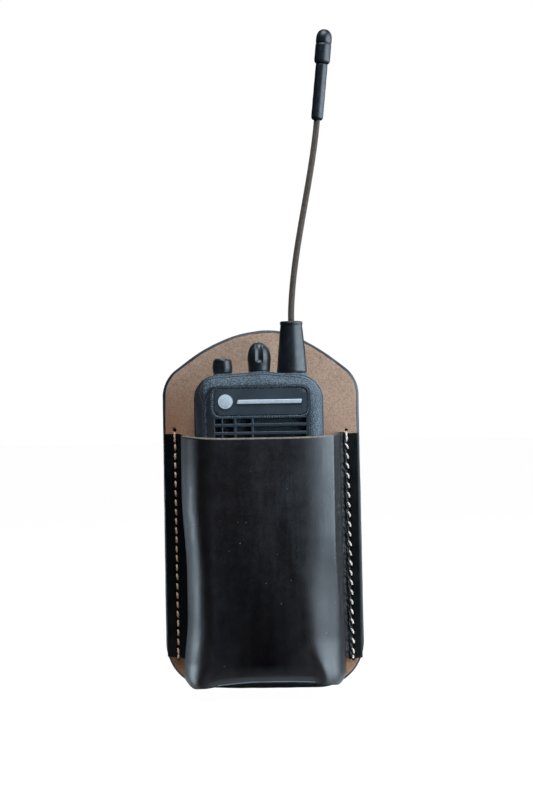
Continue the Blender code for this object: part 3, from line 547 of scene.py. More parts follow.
# ==================================================================================
# Leather and thread materials
# ==================================================================================
def flesh_leather():
    n = Shader("flesh_leather")
    broad = n.noise(scale=28, detail=5, rough=0.6)
    mid = n.noise(scale=260, detail=6, rough=0.62)
    fine = n.noise(scale=1500, detail=5, rough=0.8)
    color = n.ramp(broad, [
        (0.28, srgb(198, 160, 134)), (0.5, srgb(206, 169, 143)), (0.74, srgb(214, 178, 153))])
    mottle = n.ramp(mid, [(0.3, srgb(184, 146, 121)), (0.68, srgb(224, 190, 166))])
    color = n.mix(0.25, color, mottle)
    color = n.mix(n.remap(fine, at=(0.36, 0.54), to=(0.70, 0.0)), color, srgb(126, 94, 74))
    # painted shade: darker and warmer low down
    low = n.remap(n.axis("Z"), at=mm(60, 155), to=(0.75, 0.0))
    color = n.mix(low, color, srgb(184, 132, 98))
    # painted shade: darker and warmer at the left, beside and below the pocket's mouth
    warm_left_shade = n.times(
        n.remap(n.axis("X"), at=mm(-24, -44), to=(0.0, 0.7)),
        n.remap(n.axis("Z"), at=mm(122, 150), to=(1.0, 0.0)))
    color = n.mix(warm_left_shade, color, srgb(178, 120, 82))
    # painted shadow: near black where the pocket's bottom wall meets the panel
    painted_shadow = n.times(
        n.remap(n.axis("Z"), at=mm(6.8, 7.8), to=(1.0, 0.0)),
        n.remap(n.math("ABSOLUTE", n.axis("X")), at=mm(34, 35.5), to=(1.0, 0.0)))
    color = n.mix(painted_shadow, color, srgb(8, 8, 9))
    pores = n.remap(n.voronoi(scale=420), at=(0.02, 0.055), to=(0.55, 0.0))
    color = n.mix(pores, color, srgb(84, 64, 52))
    # one small blemish near the top right
    spot = n.node("ShaderNodeVectorMath", operation="DISTANCE")
    spot.inputs[1].default_value = mm(28.5, -2.4, 156.3)
    n.link(n.coord.outputs["Object"], spot.inputs[0])
    blemish = n.remap(spot.outputs["Value"], at=mm(0.2, 0.5), to=(0.85, 0.0))
    color = n.mix(blemish, color, srgb(52, 38, 32))
    n.bump(mid, depth=0.07, strength=0.5)
    n.bump(fine, depth=0.16, strength=0.9)
    n.bump(n.voronoi(scale=900), depth=0.05, strength=0.4)
    return n.finish(
        color, n.remap(fine, at=(0.3, 0.7), to=(0.78, 0.95)), Specular_IOR_Level=0.25,
        Sheen_Weight=0.25, Sheen_Roughness=0.5, Sheen_Tint=srgb(215, 205, 200))


def painted_shade_patch_and_streaks(n, color, spec, coat):
    """Painted shade: a dark matt patch low in the middle, and pale streaks up the right of the
    pocket's front.
    """
    x, z = n.axis("X"), n.axis("Z")
    wear_and_painted_light = n.times(
        n.remap(n.math("ABSOLUTE", x), at=mm(4, 27), to=(1.0, 0.0)),
        n.remap(z, at=mm(18, 105), to=(1.0, 0.0)))
    wear_and_painted_light = n.times(wear_and_painted_light, n.remap(z, at=mm(10.5, 16.5)))
    # painted shade: the patch is darkened towards near black
    color = n.mix(n.times(wear_and_painted_light, 0.6), color, srgb(2, 2, 5))
    spec = n.remap(wear_and_painted_light, at=(0.0, 1.0), to=(spec, spec * 0.12))
    coat = n.remap(wear_and_painted_light, at=(0.0, 1.0), to=(coat, 0.0))
    lines = n.noise(scale=420, detail=4, rough=0.65, stretch=(1, 1, 0.09))
    patches = n.noise(scale=70, detail=3, rough=0.55, stretch=(1, 1, 0.5))
    streak = n.times(n.remap(lines, at=(0.50, 0.68)), n.remap(patches, at=(0.42, 0.60)))
    region = n.times(n.remap(x, at=mm(2, 14)), n.remap(z, at=mm(50, 85)))
    streak = n.times(streak, region)
    return n.mix(n.times(streak, 0.5), color, srgb(58, 66, 76)), spec, coat


def grain_leather(name, rough=0.41, dark=(15, 11, 13), brown=(24, 16, 19), specks=True,
                  coat=0.10, spec=0.58, wear_and_painted_light=False):
    n = Shader(name)
    broad = n.noise(scale=22, detail=4, rough=0.55)
    mid = n.noise(scale=150, detail=5, rough=0.6)
    color = n.mix(n.remap(broad, at=(0.35, 0.7)), srgb(*dark), srgb(*brown))
    color = n.mix(n.remap(mid, at=(0.45, 0.75), to=(0.0, 0.35)), color, srgb(31, 24, 24))
    if specks:
        # sparse pale dust
        dust = n.remap(n.voronoi(scale=190), at=(0.040, 0.066), to=(1.0, 0.0))
        patches = n.noise(scale=60, detail=2, rough=0.5)
        dust = n.times(dust, n.remap(patches, at=(0.43, 0.53), to=(0.0, 0.6)))
        color = n.mix(dust, color, srgb(150, 150, 150))
    if wear_and_painted_light:
        color, spec, coat = painted_shade_patch_and_streaks(n, color, spec, coat)
    gloss = n.math(
        "ADD", n.remap(mid, at=(0.3, 0.75), to=(rough - 0.05, rough + 0.07)),
        n.remap(n.noise(scale=900, detail=4, rough=0.6), at=(0.35, 0.7), to=(-0.03, 0.05)))
    if wear_and_painted_light:
        lines = n.noise(scale=300, detail=4, rough=0.6, stretch=(1, 1, 0.12))
        gloss = n.math("ADD", gloss, n.remap(lines, at=(0.35, 0.7), to=(-0.035, 0.04)))
    n.bump(n.voronoi(scale=1500, feature="SMOOTH_F1"), depth=0.030, strength=0.6)
    n.bump(n.noise(scale=2600, detail=5, rough=0.6), depth=0.022, strength=0.7)
    n.bump(n.noise(scale=240, detail=4, rough=0.5), depth=0.03, strength=0.35)
    return n.finish(
        color, gloss, Specular_IOR_Level=spec, Coat_Weight=coat, Coat_Roughness=0.36)


def inner_leather():
    n = Shader("inner_flesh_leather")
    mid = n.noise(scale=300, detail=6, rough=0.65)
    color = n.two_tone(mid, srgb(72, 56, 46), srgb(112, 92, 80))
    n.bump(n.noise(scale=1800, detail=5, rough=0.7), depth=0.1, strength=0.8)
    n.bump(mid, depth=0.14, strength=0.5)
    return n.finish(color, 0.9, Specular_IOR_Level=0.2, Sheen_Weight=0.2)


def edge_paint():
    n = Shader("edge_paint")
    mid = n.noise(scale=330, detail=5, rough=0.6)
    color = n.two_tone(mid, srgb(20, 23, 29), srgb(46, 53, 64))
    n.bump(mid, depth=0.06, strength=0.6)
    n.bump(n.noise(scale=1600, detail=4, rough=0.6), depth=0.03, strength=0.6)
    return n.finish(color, n.remap(mid, at=(0.3, 0.7), to=(0.35, 0.55)))


def raw_edge():
    n = Shader("raw_edge_leather")
    layers = n.noise(scale=700, detail=5, rough=0.6, stretch=(1, 1, 0.35))
    fine = n.noise(scale=2400, detail=5, rough=0.65)
    color = n.two_tone(layers, srgb(108, 97, 88), srgb(148, 137, 127))
    color = n.mix(n.remap(fine, at=(0.35, 0.6), to=(0.4, 0.0)), color, srgb(92, 74, 66))
    n.bump(fine, depth=0.06, strength=0.7)
    return n.finish(color, 0.8, Specular_IOR_Level=0.3)


def waxed_thread(name, light, dark, glow):
    n = Shader(name)
    ply = n.noise(scale=1400, detail=3, rough=0.5, stretch=(1, 1, 0.5))
    color = n.two_tone(ply, srgb(*dark), srgb(*light))
    fibres = n.noise(scale=4200, detail=3, rough=0.6, stretch=(1, 1, 0.3))
    n.bump(fibres, depth=0.04, strength=0.7)
    # the emission is painted light that brightens the thread
    return n.finish(
        color, n.remap(ply, at=(0.3, 0.7), to=(0.5, 0.72)), Specular_IOR_Level=0.45,
        Sheen_Weight=0.15, Emission_Color=color, Emission_Strength=glow)


# ==================================================================================
# Plastic, rubber, metal and other materials
# ==================================================================================
def housing_plastic():
    """Black plastic: gritty on the shoulders and the top, satin on the front panel."""
    n = Shader("housing_plastic")
    x, y, z = (n.axis(which) for which in "XYZ")
    right = n.remap(x, at=mm(MIDDLE_X + 22.9, MIDDLE_X + 23.5))
    left = n.remap(x, at=mm(MIDDLE_X - 24.7, MIDDLE_X - 25.3))
    top = n.remap(z, at=mm(142.4, 143.4))
    deep = n.remap(y, at=mm(FRONT_Y + 0.02, FRONT_Y + 0.25))
    sides = n.math("MAXIMUM", right, left)
    gritty = n.math("MAXIMUM", sides, n.math("MAXIMUM", top, deep), clamp=True)
    grit = n.noise(scale=2000, detail=3, rough=0.62)
    pebble = n.voronoi(scale=1500, feature="SMOOTH_F1")
    tone = n.noise(scale=45, detail=4, rough=0.5)
    color = n.mix(n.remap(tone, at=(0.35, 0.65)), srgb(22, 27, 31), srgb(29, 36, 40))
    # painted shade: the front darkens towards the left shoulder
    painted_left_shade = n.remap(x, at=mm(MIDDLE_X - 17.0, MIDDLE_X - 24.5), to=(0.0, 0.65))
    color = n.mix(painted_left_shade, color, srgb(10, 13, 14))
    # painted highlight: the bars between the slots are paler
    bar_highlight = n.times(n.remap(x, at=mm(-21.8, -21.0)), n.remap(x, at=mm(20.9, 21.7), to=(1.0, 0.0)))
    bar_highlight = n.times(bar_highlight, n.remap(z, at=mm(129.0, 129.5), to=(1.0, 0.0)))
    color = n.mix(n.times(bar_highlight, 0.65), color, srgb(52, 64, 72))
    color = n.mix(n.times(gritty, 0.55), color, srgb(44, 53, 60))
    # pale tips of the grit: wear and painted glints, painted fainter on the left, where shade
    # falls
    wear_and_painted_light = n.times(n.remap(grit, at=(0.46, 0.62), to=(0.0, 0.68)), gritty)
    wear_and_painted_light = n.times(wear_and_painted_light, n.math("SUBTRACT", 1.0, n.times(left, 0.8)))
    color = n.mix(wear_and_painted_light, color, srgb(122, 141, 156))
    # painted shade: the left shoulder darker still
    color = n.mix(n.times(left, 0.5), color, srgb(17, 22, 25))
    satin = n.remap(n.noise(scale=420, detail=4, rough=0.6), at=(0.3, 0.7), to=(0.42, 0.52))
    n.bump(n.times(grit, gritty), depth=0.34, strength=0.9)
    n.bump(n.times(pebble, gritty), depth=0.16, strength=0.7)
    n.bump(n.noise(scale=5200, detail=2, rough=0.5), depth=0.006, strength=0.6)
    return n.finish(color, n.math("ADD", n.times(gritty, 0.10), satin))


def plastic(name, dark, pale, rough, grain, depth):
    n = Shader(name)
    tone = n.noise(scale=70, detail=4, rough=0.55)
    fine = n.noise(scale=grain, detail=4, rough=0.6)
    color = n.mix(n.remap(tone, at=(0.35, 0.65)), srgb(*dark), srgb(*pale))
    scuff = n.remap(
        n.noise(scale=300, detail=6, rough=0.7, stretch=(1, 1, 0.3)),
        at=(0.62, 0.75), to=(0.0, 0.3))
    color = n.mix(scuff, color, srgb(*[min(255, c + 34) for c in pale]))
    n.bump(fine, depth=depth, strength=0.7)
    gloss = n.remap(fine, at=(0.3, 0.7), to=(rough - 0.06, rough + 0.06))
    return n.finish(color, n.math("ADD", gloss, n.times(scuff, 0.3)), Coat_Roughness=0.2)


def rubber(name, dark, pale, rough, coat=0.0, depth=0.02):
    n = Shader(name)
    tone = n.noise(scale=90, detail=4, rough=0.5)
    color = n.mix(n.remap(tone, at=(0.3, 0.7)), srgb(*dark), srgb(*pale))
    n.bump(n.noise(scale=1500, detail=4, rough=0.6), depth=depth, strength=0.7)
    n.bump(n.noise(scale=5000, detail=3, rough=0.6), depth=0.012, strength=0.7)
    dust = n.remap(n.noise(scale=800, detail=5, rough=0.7), at=(0.6, 0.72), to=(0.0, 0.25))
    color = n.mix(dust, color, srgb(96, 102, 108))
    gloss = n.remap(
        n.noise(scale=400, detail=5, rough=0.6), at=(0.3, 0.7), to=(rough - 0.07, rough + 0.07))
    return n.finish(color, gloss, Coat_Weight=coat, Coat_Roughness=0.15)


def cable_braid():
    n = Shader("cable_braid")
    tone = n.noise(scale=900, detail=4, rough=0.6)
    color = n.two_tone(tone, srgb(42, 30, 23), srgb(100, 77, 61))
    strands = n.noise(scale=4200, detail=3, rough=0.6, stretch=(1, 1, 0.25))
    n.bump(strands, depth=0.03, strength=0.8)
    return n.finish(color, n.remap(tone, at=(0.3, 0.7), to=(0.42, 0.62)))


def metal(name, color, rough=0.28, brushed=(1, 1, 12), spread=0.08, metallic=1.0, tarnish=None):
    n = Shader(name)
    lines = n.noise(scale=900, detail=4, rough=0.6, stretch=brushed)
    tone = n.mix(n.remap(lines, at=(0.3, 0.7)), [c * 0.82 for c in color], color)
    if tarnish:
        patches = n.noise(scale=120, detail=5, rough=0.6)
        tone = n.mix(n.remap(patches, at=(0.52, 0.7), to=(0.0, 0.6)), tone, tarnish)
    n.bump(lines, depth=0.006, strength=0.5)
    gloss = n.remap(lines, at=(0.3, 0.7), to=(rough - spread, rough + spread))
    return n.finish(tone, gloss, Metallic=metallic)


def cast_alloy():
    n = Shader("cast_alloy")
    grain = n.noise(scale=1100, detail=5, rough=0.65)
    tone = n.noise(scale=90, detail=5, rough=0.6)
    color = n.two_tone(tone, (0.30, 0.31, 0.32), (0.46, 0.47, 0.48))
    n.bump(grain, depth=0.05, strength=0.7)
    return n.finish(color, n.remap(grain, at=(0.3, 0.7), to=(0.42, 0.62)), Metallic=0.85)


def mark_white():
    n = Shader("mark_white")
    tone = n.noise(scale=600, detail=4, rough=0.6)
    color = n.two_tone(tone, srgb(198, 207, 213), srgb(224, 231, 236))
    n.bump(n.noise(scale=2600, detail=3, rough=0.6), depth=0.008, strength=0.6)
    # the faint warm emission is painted light: the marks glow a little
    return n.finish(
        color, n.remap(tone, at=(0.3, 0.7), to=(0.28, 0.42)),
        Emission_Color=srgb(200, 160, 135), Emission_Strength=0.006)


def felt():
    n = Shader("felt")
    tufts = n.voronoi(scale=2600)
    color = n.ramp(tufts, [(0.1, srgb(22, 25, 28)), (0.6, srgb(76, 84, 90))])
    n.bump(tufts, depth=0.12, strength=1.0)
    return n.finish(color, 0.92, Specular_IOR_Level=0.2)


def board_green():
    n = Shader("board_green")
    tracks = n.noise(scale=420, detail=2, rough=0.3, stretch=(1, 1, 4))
    green, track = srgb(14, 74, 44), srgb(30, 104, 62)
    color = n.ramp(tracks, [(0.42, green), (0.5, track), (0.58, green)])
    pads = n.remap(n.voronoi(scale=520, randomness=0.2), at=(0.16, 0.2), to=(1.0, 0.0))
    pads = n.times(pads, n.remap(n.noise(scale=160, detail=2), at=(0.5, 0.56)))
    color = n.mix(pads, color, srgb(196, 178, 120))
    n.bump(tracks, depth=0.03, strength=0.6)
    return n.finish(color, n.remap(tracks, at=(0.3, 0.7), to=(0.3, 0.45)), Coat_Weight=0.3)


def lens_plastic():
    n = Shader("lens")
    tone = n.noise(scale=700, detail=3, rough=0.5)
    color = n.two_tone(tone, srgb(40, 26, 27), srgb(60, 40, 40))
    n.bump(tone, depth=0.01, strength=0.5)
    return n.finish(color, 0.12, Transmission_Weight=0.35, Coat_Weight=0.6)


def cell_wrap():
    n = Shader("cell_wrap")
    tone = n.noise(scale=240, detail=5, rough=0.6)
    color = n.two_tone(tone, srgb(38, 66, 128), srgb(56, 92, 164))
    creases = n.noise(scale=600, detail=4, rough=0.6, stretch=(1, 1, 0.2))
    n.bump(creases, depth=0.03, strength=0.6)
    return n.finish(color, n.remap(tone, at=(0.3, 0.7), to=(0.25, 0.42)), Coat_Weight=0.3)


LOOK = {
    "flesh": flesh_leather(),
    "grain": grain_leather("grain_leather", wear_and_painted_light=True),
    # a darker copy of the grain leather: painted shade on the flanges
    "shaded_flange": grain_leather("shaded_flange_leather", rough=0.42, dark=(3, 4, 7), brown=(7, 8, 10),
                            specks=False, coat=0.0, spec=0.24),
    "back_grain": grain_leather("back_grain_leather", rough=0.45, dark=(30, 24, 23),
                                brown=(44, 33, 29), coat=0.05),
    "inner_flesh": inner_leather(),
    # pale blue-grey leather: painted highlight along the crease
    "crease": grain_leather("crease_highlight_leather", rough=0.5, dark=(112, 121, 132),
                            brown=(132, 142, 154), specks=False, coat=0.0, spec=0.5),
    "sole": grain_leather("sole_leather", rough=0.7, dark=(14, 13, 13), brown=(21, 19, 19),
                          specks=False, coat=0.0, spec=0.25),
    # near black: painted shade inside the stitch holes and on the strip under the pocket
    "bore": grain_leather("shade_black_leather", rough=0.7, dark=(5, 4, 4), brown=(9, 7, 6),
                          specks=False, coat=0.0, spec=0.4),
    "paint": edge_paint(),
    "raw": raw_edge(),
    # tan thread with a faint emission, painted light
    "thread_tan": waxed_thread("thread_tan", light=(255, 216, 180), dark=(232, 186, 150),
                               glow=0.03),
    # the tan thread painted paler and glowing, as if lit: painted highlight for the right seam
    "thread_cream": waxed_thread("thread_cream", light=(248, 238, 228), dark=(212, 197, 182),
                                 glow=0.21),
    "housing_plastic": housing_plastic(),
    "bead": plastic("bead_plastic", dark=(66, 78, 88), pale=(92, 106, 118), rough=0.4,
                    grain=2600, depth=0.01),
    "knob_rubber": rubber("knob_rubber", dark=(20, 25, 29), pale=(32, 38, 43), rough=0.42,
                          coat=0.12),
    "antenna_rubber": rubber("antenna_rubber", dark=(14, 19, 24), pale=(23, 29, 35),
                             rough=0.38, depth=0.09),
    "cable_braid": cable_braid(),
    "plate_plastic": plastic("plate_plastic", dark=(52, 61, 68), pale=(64, 74, 82),
                             rough=0.42, grain=2600, depth=0.01),
    "mark_white": mark_white(),
    "cast_alloy": cast_alloy(),
    "seal_rubber": rubber("seal_rubber", dark=(24, 24, 25), pale=(36, 36, 37), rough=0.65),
    "felt": felt(),
    "steel": metal("steel", color=(0.62, 0.63, 0.64)),
    "magnet": metal("magnet", color=(0.16, 0.16, 0.17), rough=0.42, brushed=(1, 1, 1),
                    metallic=0.7),
    "paper_cone": plastic("paper_cone", dark=(30, 27, 24), pale=(44, 40, 36), rough=0.85,
                          grain=1400, depth=0.08),
    "board_green": board_green(),
    "tinplate": metal("tinplate", color=(0.66, 0.66, 0.64), rough=0.3, brushed=(1, 1, 3),
                      spread=0.1, tarnish=(0.4, 0.38, 0.34)),
    "brass": metal("brass", color=(0.72, 0.53, 0.24), brushed=(12, 1, 1),
                   tarnish=(0.34, 0.23, 0.1)),
    "lens": lens_plastic(),
    "battery_plastic": plastic("battery_plastic", dark=(28, 31, 33), pale=(38, 42, 44),
                               rough=0.5, grain=1900, depth=0.06),
    "cell_wrap": cell_wrap(),
}
LEATHER_SLOTS = {"panel_leather": "flesh", "pocket_leather": "grain"}


def dress_cad():
    """Every CAD piece gets the material of its slot."""
    slots = {part["node"]: part["material_slot"] for part in frame["record"]["subparts"]}
    for node, obj in frame["nodes"].items():
        slot = slots[node]
        obj.data.materials.clear()
        obj.data.materials.append(LOOK[LEATHER_SLOTS.get(slot, slot)])


# ==================================================================================
# Holster: seam lines
# ==================================================================================
class Seam(NamedTuple):
    """A line of stitches down one flange; side is -1 at the left and 1 at the right."""
    side: int
    top: tuple          # end hole in the back panel (x, z)
    bottom: tuple       # end hole in the back panel (x, z)
    count: int          # holes through the flange
    first: float        # z of the top hole through the flange
    last: float         # z of the bottom one
    flange_top: float
    flange_low: tuple   # z of the flange's bottom edge, inner and outer
    wrap_low: float     # where the bottom end loop wraps the flange
    gap: float          # from a hole's centre to the stitch's end
    slant: float
    bow: float
    radius: float       # of one ply

    def x_at(self, z):
        (x1, z1), (x0, z0) = self.top, self.bottom
        return lerp(x0, x1, (z - z0) / (z1 - z0))

    def holes(self):
        """Heights where the thread dives, from the top hole down."""
        between = [lerp(self.first, self.last, k / (self.count - 1)) for k in range(self.count)]
        return [self.top[1], *between, self.bottom[1]]


LEFT_SEAM = Seam(
    side=-1, top=(-41.0, 123.1), bottom=(-41.0, 15.2), count=24, first=117.4, last=16.6,
    flange_top=121.6, flange_low=(16.05, 16.9), wrap_low=16.3,
    gap=0.68, slant=0.30, bow=0.10, radius=0.30)
RIGHT_SEAM = Seam(
    side=1, top=(40.2, 121.9), bottom=(41.6, 13.7), count=23, first=116.6, last=15.4,
    flange_top=120.5, flange_low=(14.2, 15.0), wrap_low=14.5,
    gap=0.98, slant=0.95, bow=0.26, radius=0.28)
SEAMS = (LEFT_SEAM, RIGHT_SEAM)


# ==================================================================================
# Holster: back panel
# ==================================================================================
# corners of the outline (x, z, radius), anticlockwise from the bottom left
PANEL_CORNERS = [
    (-47.0, 2.0, 21.5), (-14.0, 0.15, 60.0), (47.1, 0.0, 21.8), (46.4, 147.0, 16.0),
    (29.0, 160.4, 80.0), (15.5, 168.0, 26.0), (5.5, 170.6, 34.0), (-10.5, 168.4, 60.0),
    (-27.0, 161.6, 70.0), (-46.6, 147.0, 16.0),
]
# front bevel: (share of the bevel's width, depth behind the front face)
PANEL_BEVEL = [
    (1.75, 0.0), (1.0, 0.02), (0.72, 0.12), (0.42, 0.36), (0.18, 0.72), (0.03, 1.15), (0.0, 1.55)]
# rear edge: (inset, depth in front of the rear face)
PANEL_REAR_EDGE = [(0.03, 0.55), (0.18, 0.22), (0.45, 0.05), (0.9, 0.0)]
PANEL_CENTRE = np.array([1.0, 84.0])


def panel_fill(start, steps, swell):
    """Rings from the start ring in towards the panel's centre, gently uneven."""
    y = start[0][1]
    outline = np.array([(x, z) for x, _, z in start])
    rings = []
    for k in range(1, steps):
        size = (1 - k / steps) ** 0.9
        fade = min(1.0, (1 - size) * 12)
        ring = []
        for x, z in PANEL_CENTRE + (outline - PANEL_CENTRE) * size:
            uneven = 0.10 * fbm((x, 0, z), 24, 3, 5.0) + 0.05 * fbm((x, 0, z), 7, 3, 2.0)
            ring.append((x, y + uneven * fade * swell, z))
        rings.append(ring)
    return rings


def build_panel():
    outline = rounded_outline(PANEL_CORNERS, 18, 2.2)
    points, normals = outline_normals(outline)
    # the knife-cut edge is not perfectly even
    wobble = np.array([
        0.10 * fbm((x, 0, z), 17, 3, 3.1) + 0.04 * fbm((x, 0, z), 4.5, 2, 9.0)
        for x, z in outline])
    points = points + normals * (wobble - 0.06)[:, None]
    bevel = 0.95 + 0.35 * smoothstep(25, 120, points[:, 1])
    bevel = bevel * np.array([1 + 0.16 * fbm((x, 3, z), 6.0, 3, 1.7) for x, z in outline])
    front, rear = PANEL_LOW[1], PANEL_HIGH[1]
    edge = [at_y(points - normals * (bevel * share)[:, None], front + depth)
            for share, depth in PANEL_BEVEL]
    edge += [at_y(points - normals * inset, rear - depth) for inset, depth in PANEL_REAR_EDGE]

    front_fill = panel_fill(edge[0], steps=40, swell=1.0)
    rear_fill = panel_fill(edge[-1], steps=24, swell=0.5)
    chain = front_fill[::-1] + edge + rear_fill
    verts, faces = stack(chain)
    n = len(outline)
    centre = len(verts)
    last = (len(chain) - 1) * n
    verts += [(PANEL_CENTRE[0], y, PANEL_CENTRE[1]) for y in (front, rear)]
    for i in range(n):
        j = (i + 1) % n
        faces.append((centre, j, i))
        faces.append((centre + 1, last + i, last + j))

    flesh, paint, back, painted_shadow = range(4)
    painted = len(front_fill) + 1
    back_from = len(front_fill) + len(edge) - 2
    face_mats = []
    for k in range(len(chain) - 1):
        face_mats += [flesh if k < painted else paint if k < back_from else back] * n
    face_mats += [flesh, back] * n
    # painted shadow: dark strip along the bottom of the front, under the pocket
    for f, face in enumerate(faces):
        if face_mats[f] == flesh and len(face) == 4:
            x, _, z = (sum(verts[i][c] for i in face) / 4 for c in range(3))
            if z < 2.2 and abs(x - 2.0) < 34.0:
                face_mats[f] = painted_shadow
    mats = [LOOK["flesh"], LOOK["paint"], LOOK["back_grain"], LOOK["bore"]]
    obj = face_outward(make("back_panel_leather", verts, faces, mats, face_mats))
    # the holes are lined with the near-black leather, painted shade
    cut(obj, [
        cylinder((x, -2.85, z), 0.8, 4.7, steps=20, mats=LOOK["bore"])
        for seam in SEAMS for x, z in (seam.top, seam.bottom)])
    place(obj, "panel_leather", "holster", "holster_back_panel")


# ==================================================================================
# Holster: pocket. A sheet of rows (top to bottom) and columns (left to right round the
# front), with flanges at both sides and a bottom wall, thickened at the end.
# ==================================================================================
MOUTH_Z = 121.05
MOUTH_DIP = 1.25        # the mouth is lower in the middle
POCKET_LOW = 6.0
POCKET_FRONT = -45.2
PANEL_SIDE_Y = -3.0     # where walls below the flanges end
FLANGE_LOW = 15.7
FLANGE_EDGE = 46.1      # half width over the flanges
CREASE_Z = 8.6          # middle of the crease between front and bottom wall
# the crease sags towards both ends: (x, z)
CREASE_SAG = np.array([
    (-33.0, 5.6), (-30.0, 6.3), (-26.0, 6.7), (-23.0, 7.1), (-13.0, 8.1), (-6.0, CREASE_Z),
    (5.0, CREASE_Z + 0.05), (16.0, 8.45), (22.0, 8.15), (26.0, 7.7), (30.0, 7.1), (33.5, 6.4)])

# columns of the fold at the flange, the wall, the corner and the front between the corners
FOLD, WALL, CORNER, MIDDLE = 10, 24, 30, 64
FILLET = 8              # corner columns spent on the right fold's outer edge
SIDE = FOLD + WALL + CORNER + 1
COLUMNS = 2 * SIDE + MIDDLE - 1

# rows as shares of the way down from the mouth
FLANGE_SHARE = (MOUTH_Z - FLANGE_LOW) / (MOUTH_Z - POCKET_LOW)
SHARES = np.unique(np.concatenate([
    np.array([0.0, 0.0016, 0.0036, 0.0060, 0.0088, 0.012]),
    np.linspace(0.016, FLANGE_SHARE, 196),
    np.linspace(FLANGE_SHARE, 0.975, 20),
    np.linspace(0.975, 1.0, 12),
]))
FLANGE_ROW = int(np.argmin(np.abs(SHARES - FLANGE_SHARE)))
MOUTH_BEVEL = (0.90, 0.52, 0.24, 0.06)      # lean inwards of the top rows

# material slots of the pocket: outer faces, then the solidify modifier's inner and rim slots
GRAIN, RAW, SHADED_FLANGE, SOLE, CREASE_HIGHLIGHT = range(5)
INNER_OFFSET, PAINT = 5, 10


def xy(x, y):
    return np.array([x, y])


def fold_curve(outer, base, inner):
    return bezier(outer, outer * 0.4 + base * 0.6, inner * 0.4 + base * 0.6, inner, FOLD)


def round_side(side, base, fold, wall_x, waist_y, reach):
    """Columns from the flange up a wall and round a soft corner of the given reach."""
    along = unit(xy(wall_x - base[0], -9.0))
    inner = base + along * fold
    wall = xy(wall_x, waist_y)
    front = xy(wall_x - side * reach, POCKET_FRONT)
    pull = 0.56
    points = fold_curve(base + xy(side * fold, 0.0), base, inner)
    points += bezier(inner, inner + along * 6.0, wall + xy(0.0, 7.0), wall, WALL)
    points += bezier(
        wall, wall + (xy(wall_x, POCKET_FRONT) - wall) * pull,
        xy(wall_x + (front[0] - wall_x) * (1 - pull), POCKET_FRONT), front, CORNER, True)
    return points


def pressed_side(base, fold):
    """Columns of the right side's upper part: a flat wall out to a pressed edge."""
    edge = xy(33.15, POCKET_FRONT + 5.6)
    front = xy(9.5, POCKET_FRONT)
    along = unit(edge - base)
    inner = base + along * fold
    points = fold_curve(base + xy(fold, 0.0), base, inner)
    stop = edge - along * 1.5
    points += [inner + (stop - inner) * (i / WALL) for i in range(WALL)]
    lean = math.radians(34)
    slope = xy(-math.cos(lean), -math.sin(lean))
    off = edge + slope * 1.3
    for i in range(FILLET):
        t = i / FILLET
        points.append(stop * (1 - t) ** 2 + edge * (2 * t * (1 - t)) + off * t * t)
    points += bezier(
        off, off + slope * 5.4, front + xy(9.5, 0.0), front, CORNER - FILLET, True)
    return points


def pocket_section(share):
    """Plan (x, y) of one row, before moulding."""
    z = lerp(MOUTH_Z, POCKET_LOW, share)
    close = smoothstep(0.90, 1.0, share)
    on_flange = share <= FLANGE_SHARE + 1e-9
    base_y = FLANGE_Y if on_flange else PANEL_SIDE_Y
    fold = 1.7 if on_flange else 0.01
    # left: the wall bulges over the flange, with a waist at mid height
    wall_x = -37.45 + 1.85 * (smoothstep(94, 56, z) * smoothstep(12, 36, z))
    base = xy(wall_x + lerp(1.5, 0.6, smoothstep(30, 14, z)), base_y)
    reach = lerp(lerp(16.0, 13.0, smoothstep(0.0, 0.5, share)), 9.0, close)
    left = round_side(-1, base, fold, wall_x, lerp(-21.0, -25.0, close), reach)
    # right: a pressed fold down the upper part, opening into a round cheek at the bottom
    base_x = 37.2 + 0.5 * smoothstep(0.1, 0.6, share) + 0.6 * smoothstep(40, 18, z)
    base = xy(base_x, base_y)
    reach = lerp(lerp(14.0, 18.0, smoothstep(80, 24, z)), 10.0, smoothstep(0.80, 1.0, share))
    cheek = round_side(1, base, fold, 36.9, lerp(-22.0, -25.0, close), reach)
    opening = smoothstep(76, 22, z)
    right = [p * (1 - opening) + q * opening for p, q in zip(pressed_side(base, fold), cheek)]
    # the front between them bulges a little
    bulge = 0.35 + 0.6 * math.sin(math.pi * min(1.0, share * 1.02))
    start, end = left[-1], right[-1]
    front = []
    for i in range(1, MIDDLE):
        t = i / MIDDLE
        rise = bulge * math.sin(math.pi * t) ** 1.5
        front.append(start + (end - start) * t + xy(0.0, -rise))
    return left + front + right[::-1]


def side_share(column):
    """0 at the fold, 1 where the corner meets the front; None on the front."""
    from_edge = min(column, COLUMNS - 1 - column)
    return (from_edge - FOLD) / (SIDE - 1 - FOLD) if from_edge < SIDE else None


def pocket_heights(plan):
    """Top and bottom z of every column."""
    tops = [MOUTH_Z - MOUTH_DIP * max(0.0, 1 - abs((x - 0.5) / 35.5) ** 4) for x, _ in plan[4]]
    fine_x = np.linspace(-34, 34.5, 275)
    fine_z = np.interp(fine_x, CREASE_SAG[:, 0], CREASE_SAG[:, 1])
    relax(fine_z, 60)
    lows = []
    for i in range(COLUMNS):
        low = float(np.interp(plan[-1][i][0], fine_x, fine_z))
        f = side_share(i)
        if f is not None:
            f = max(0.0, f)
            wall = lerp(5.3, 6.6 if i < SIDE else 6.1, smoothstep(0, 0.25, f))
            low = lerp(wall, low, smoothstep(0.5, 0.85, f))
        lows.append(low)
    return np.array(tops), np.array(lows)


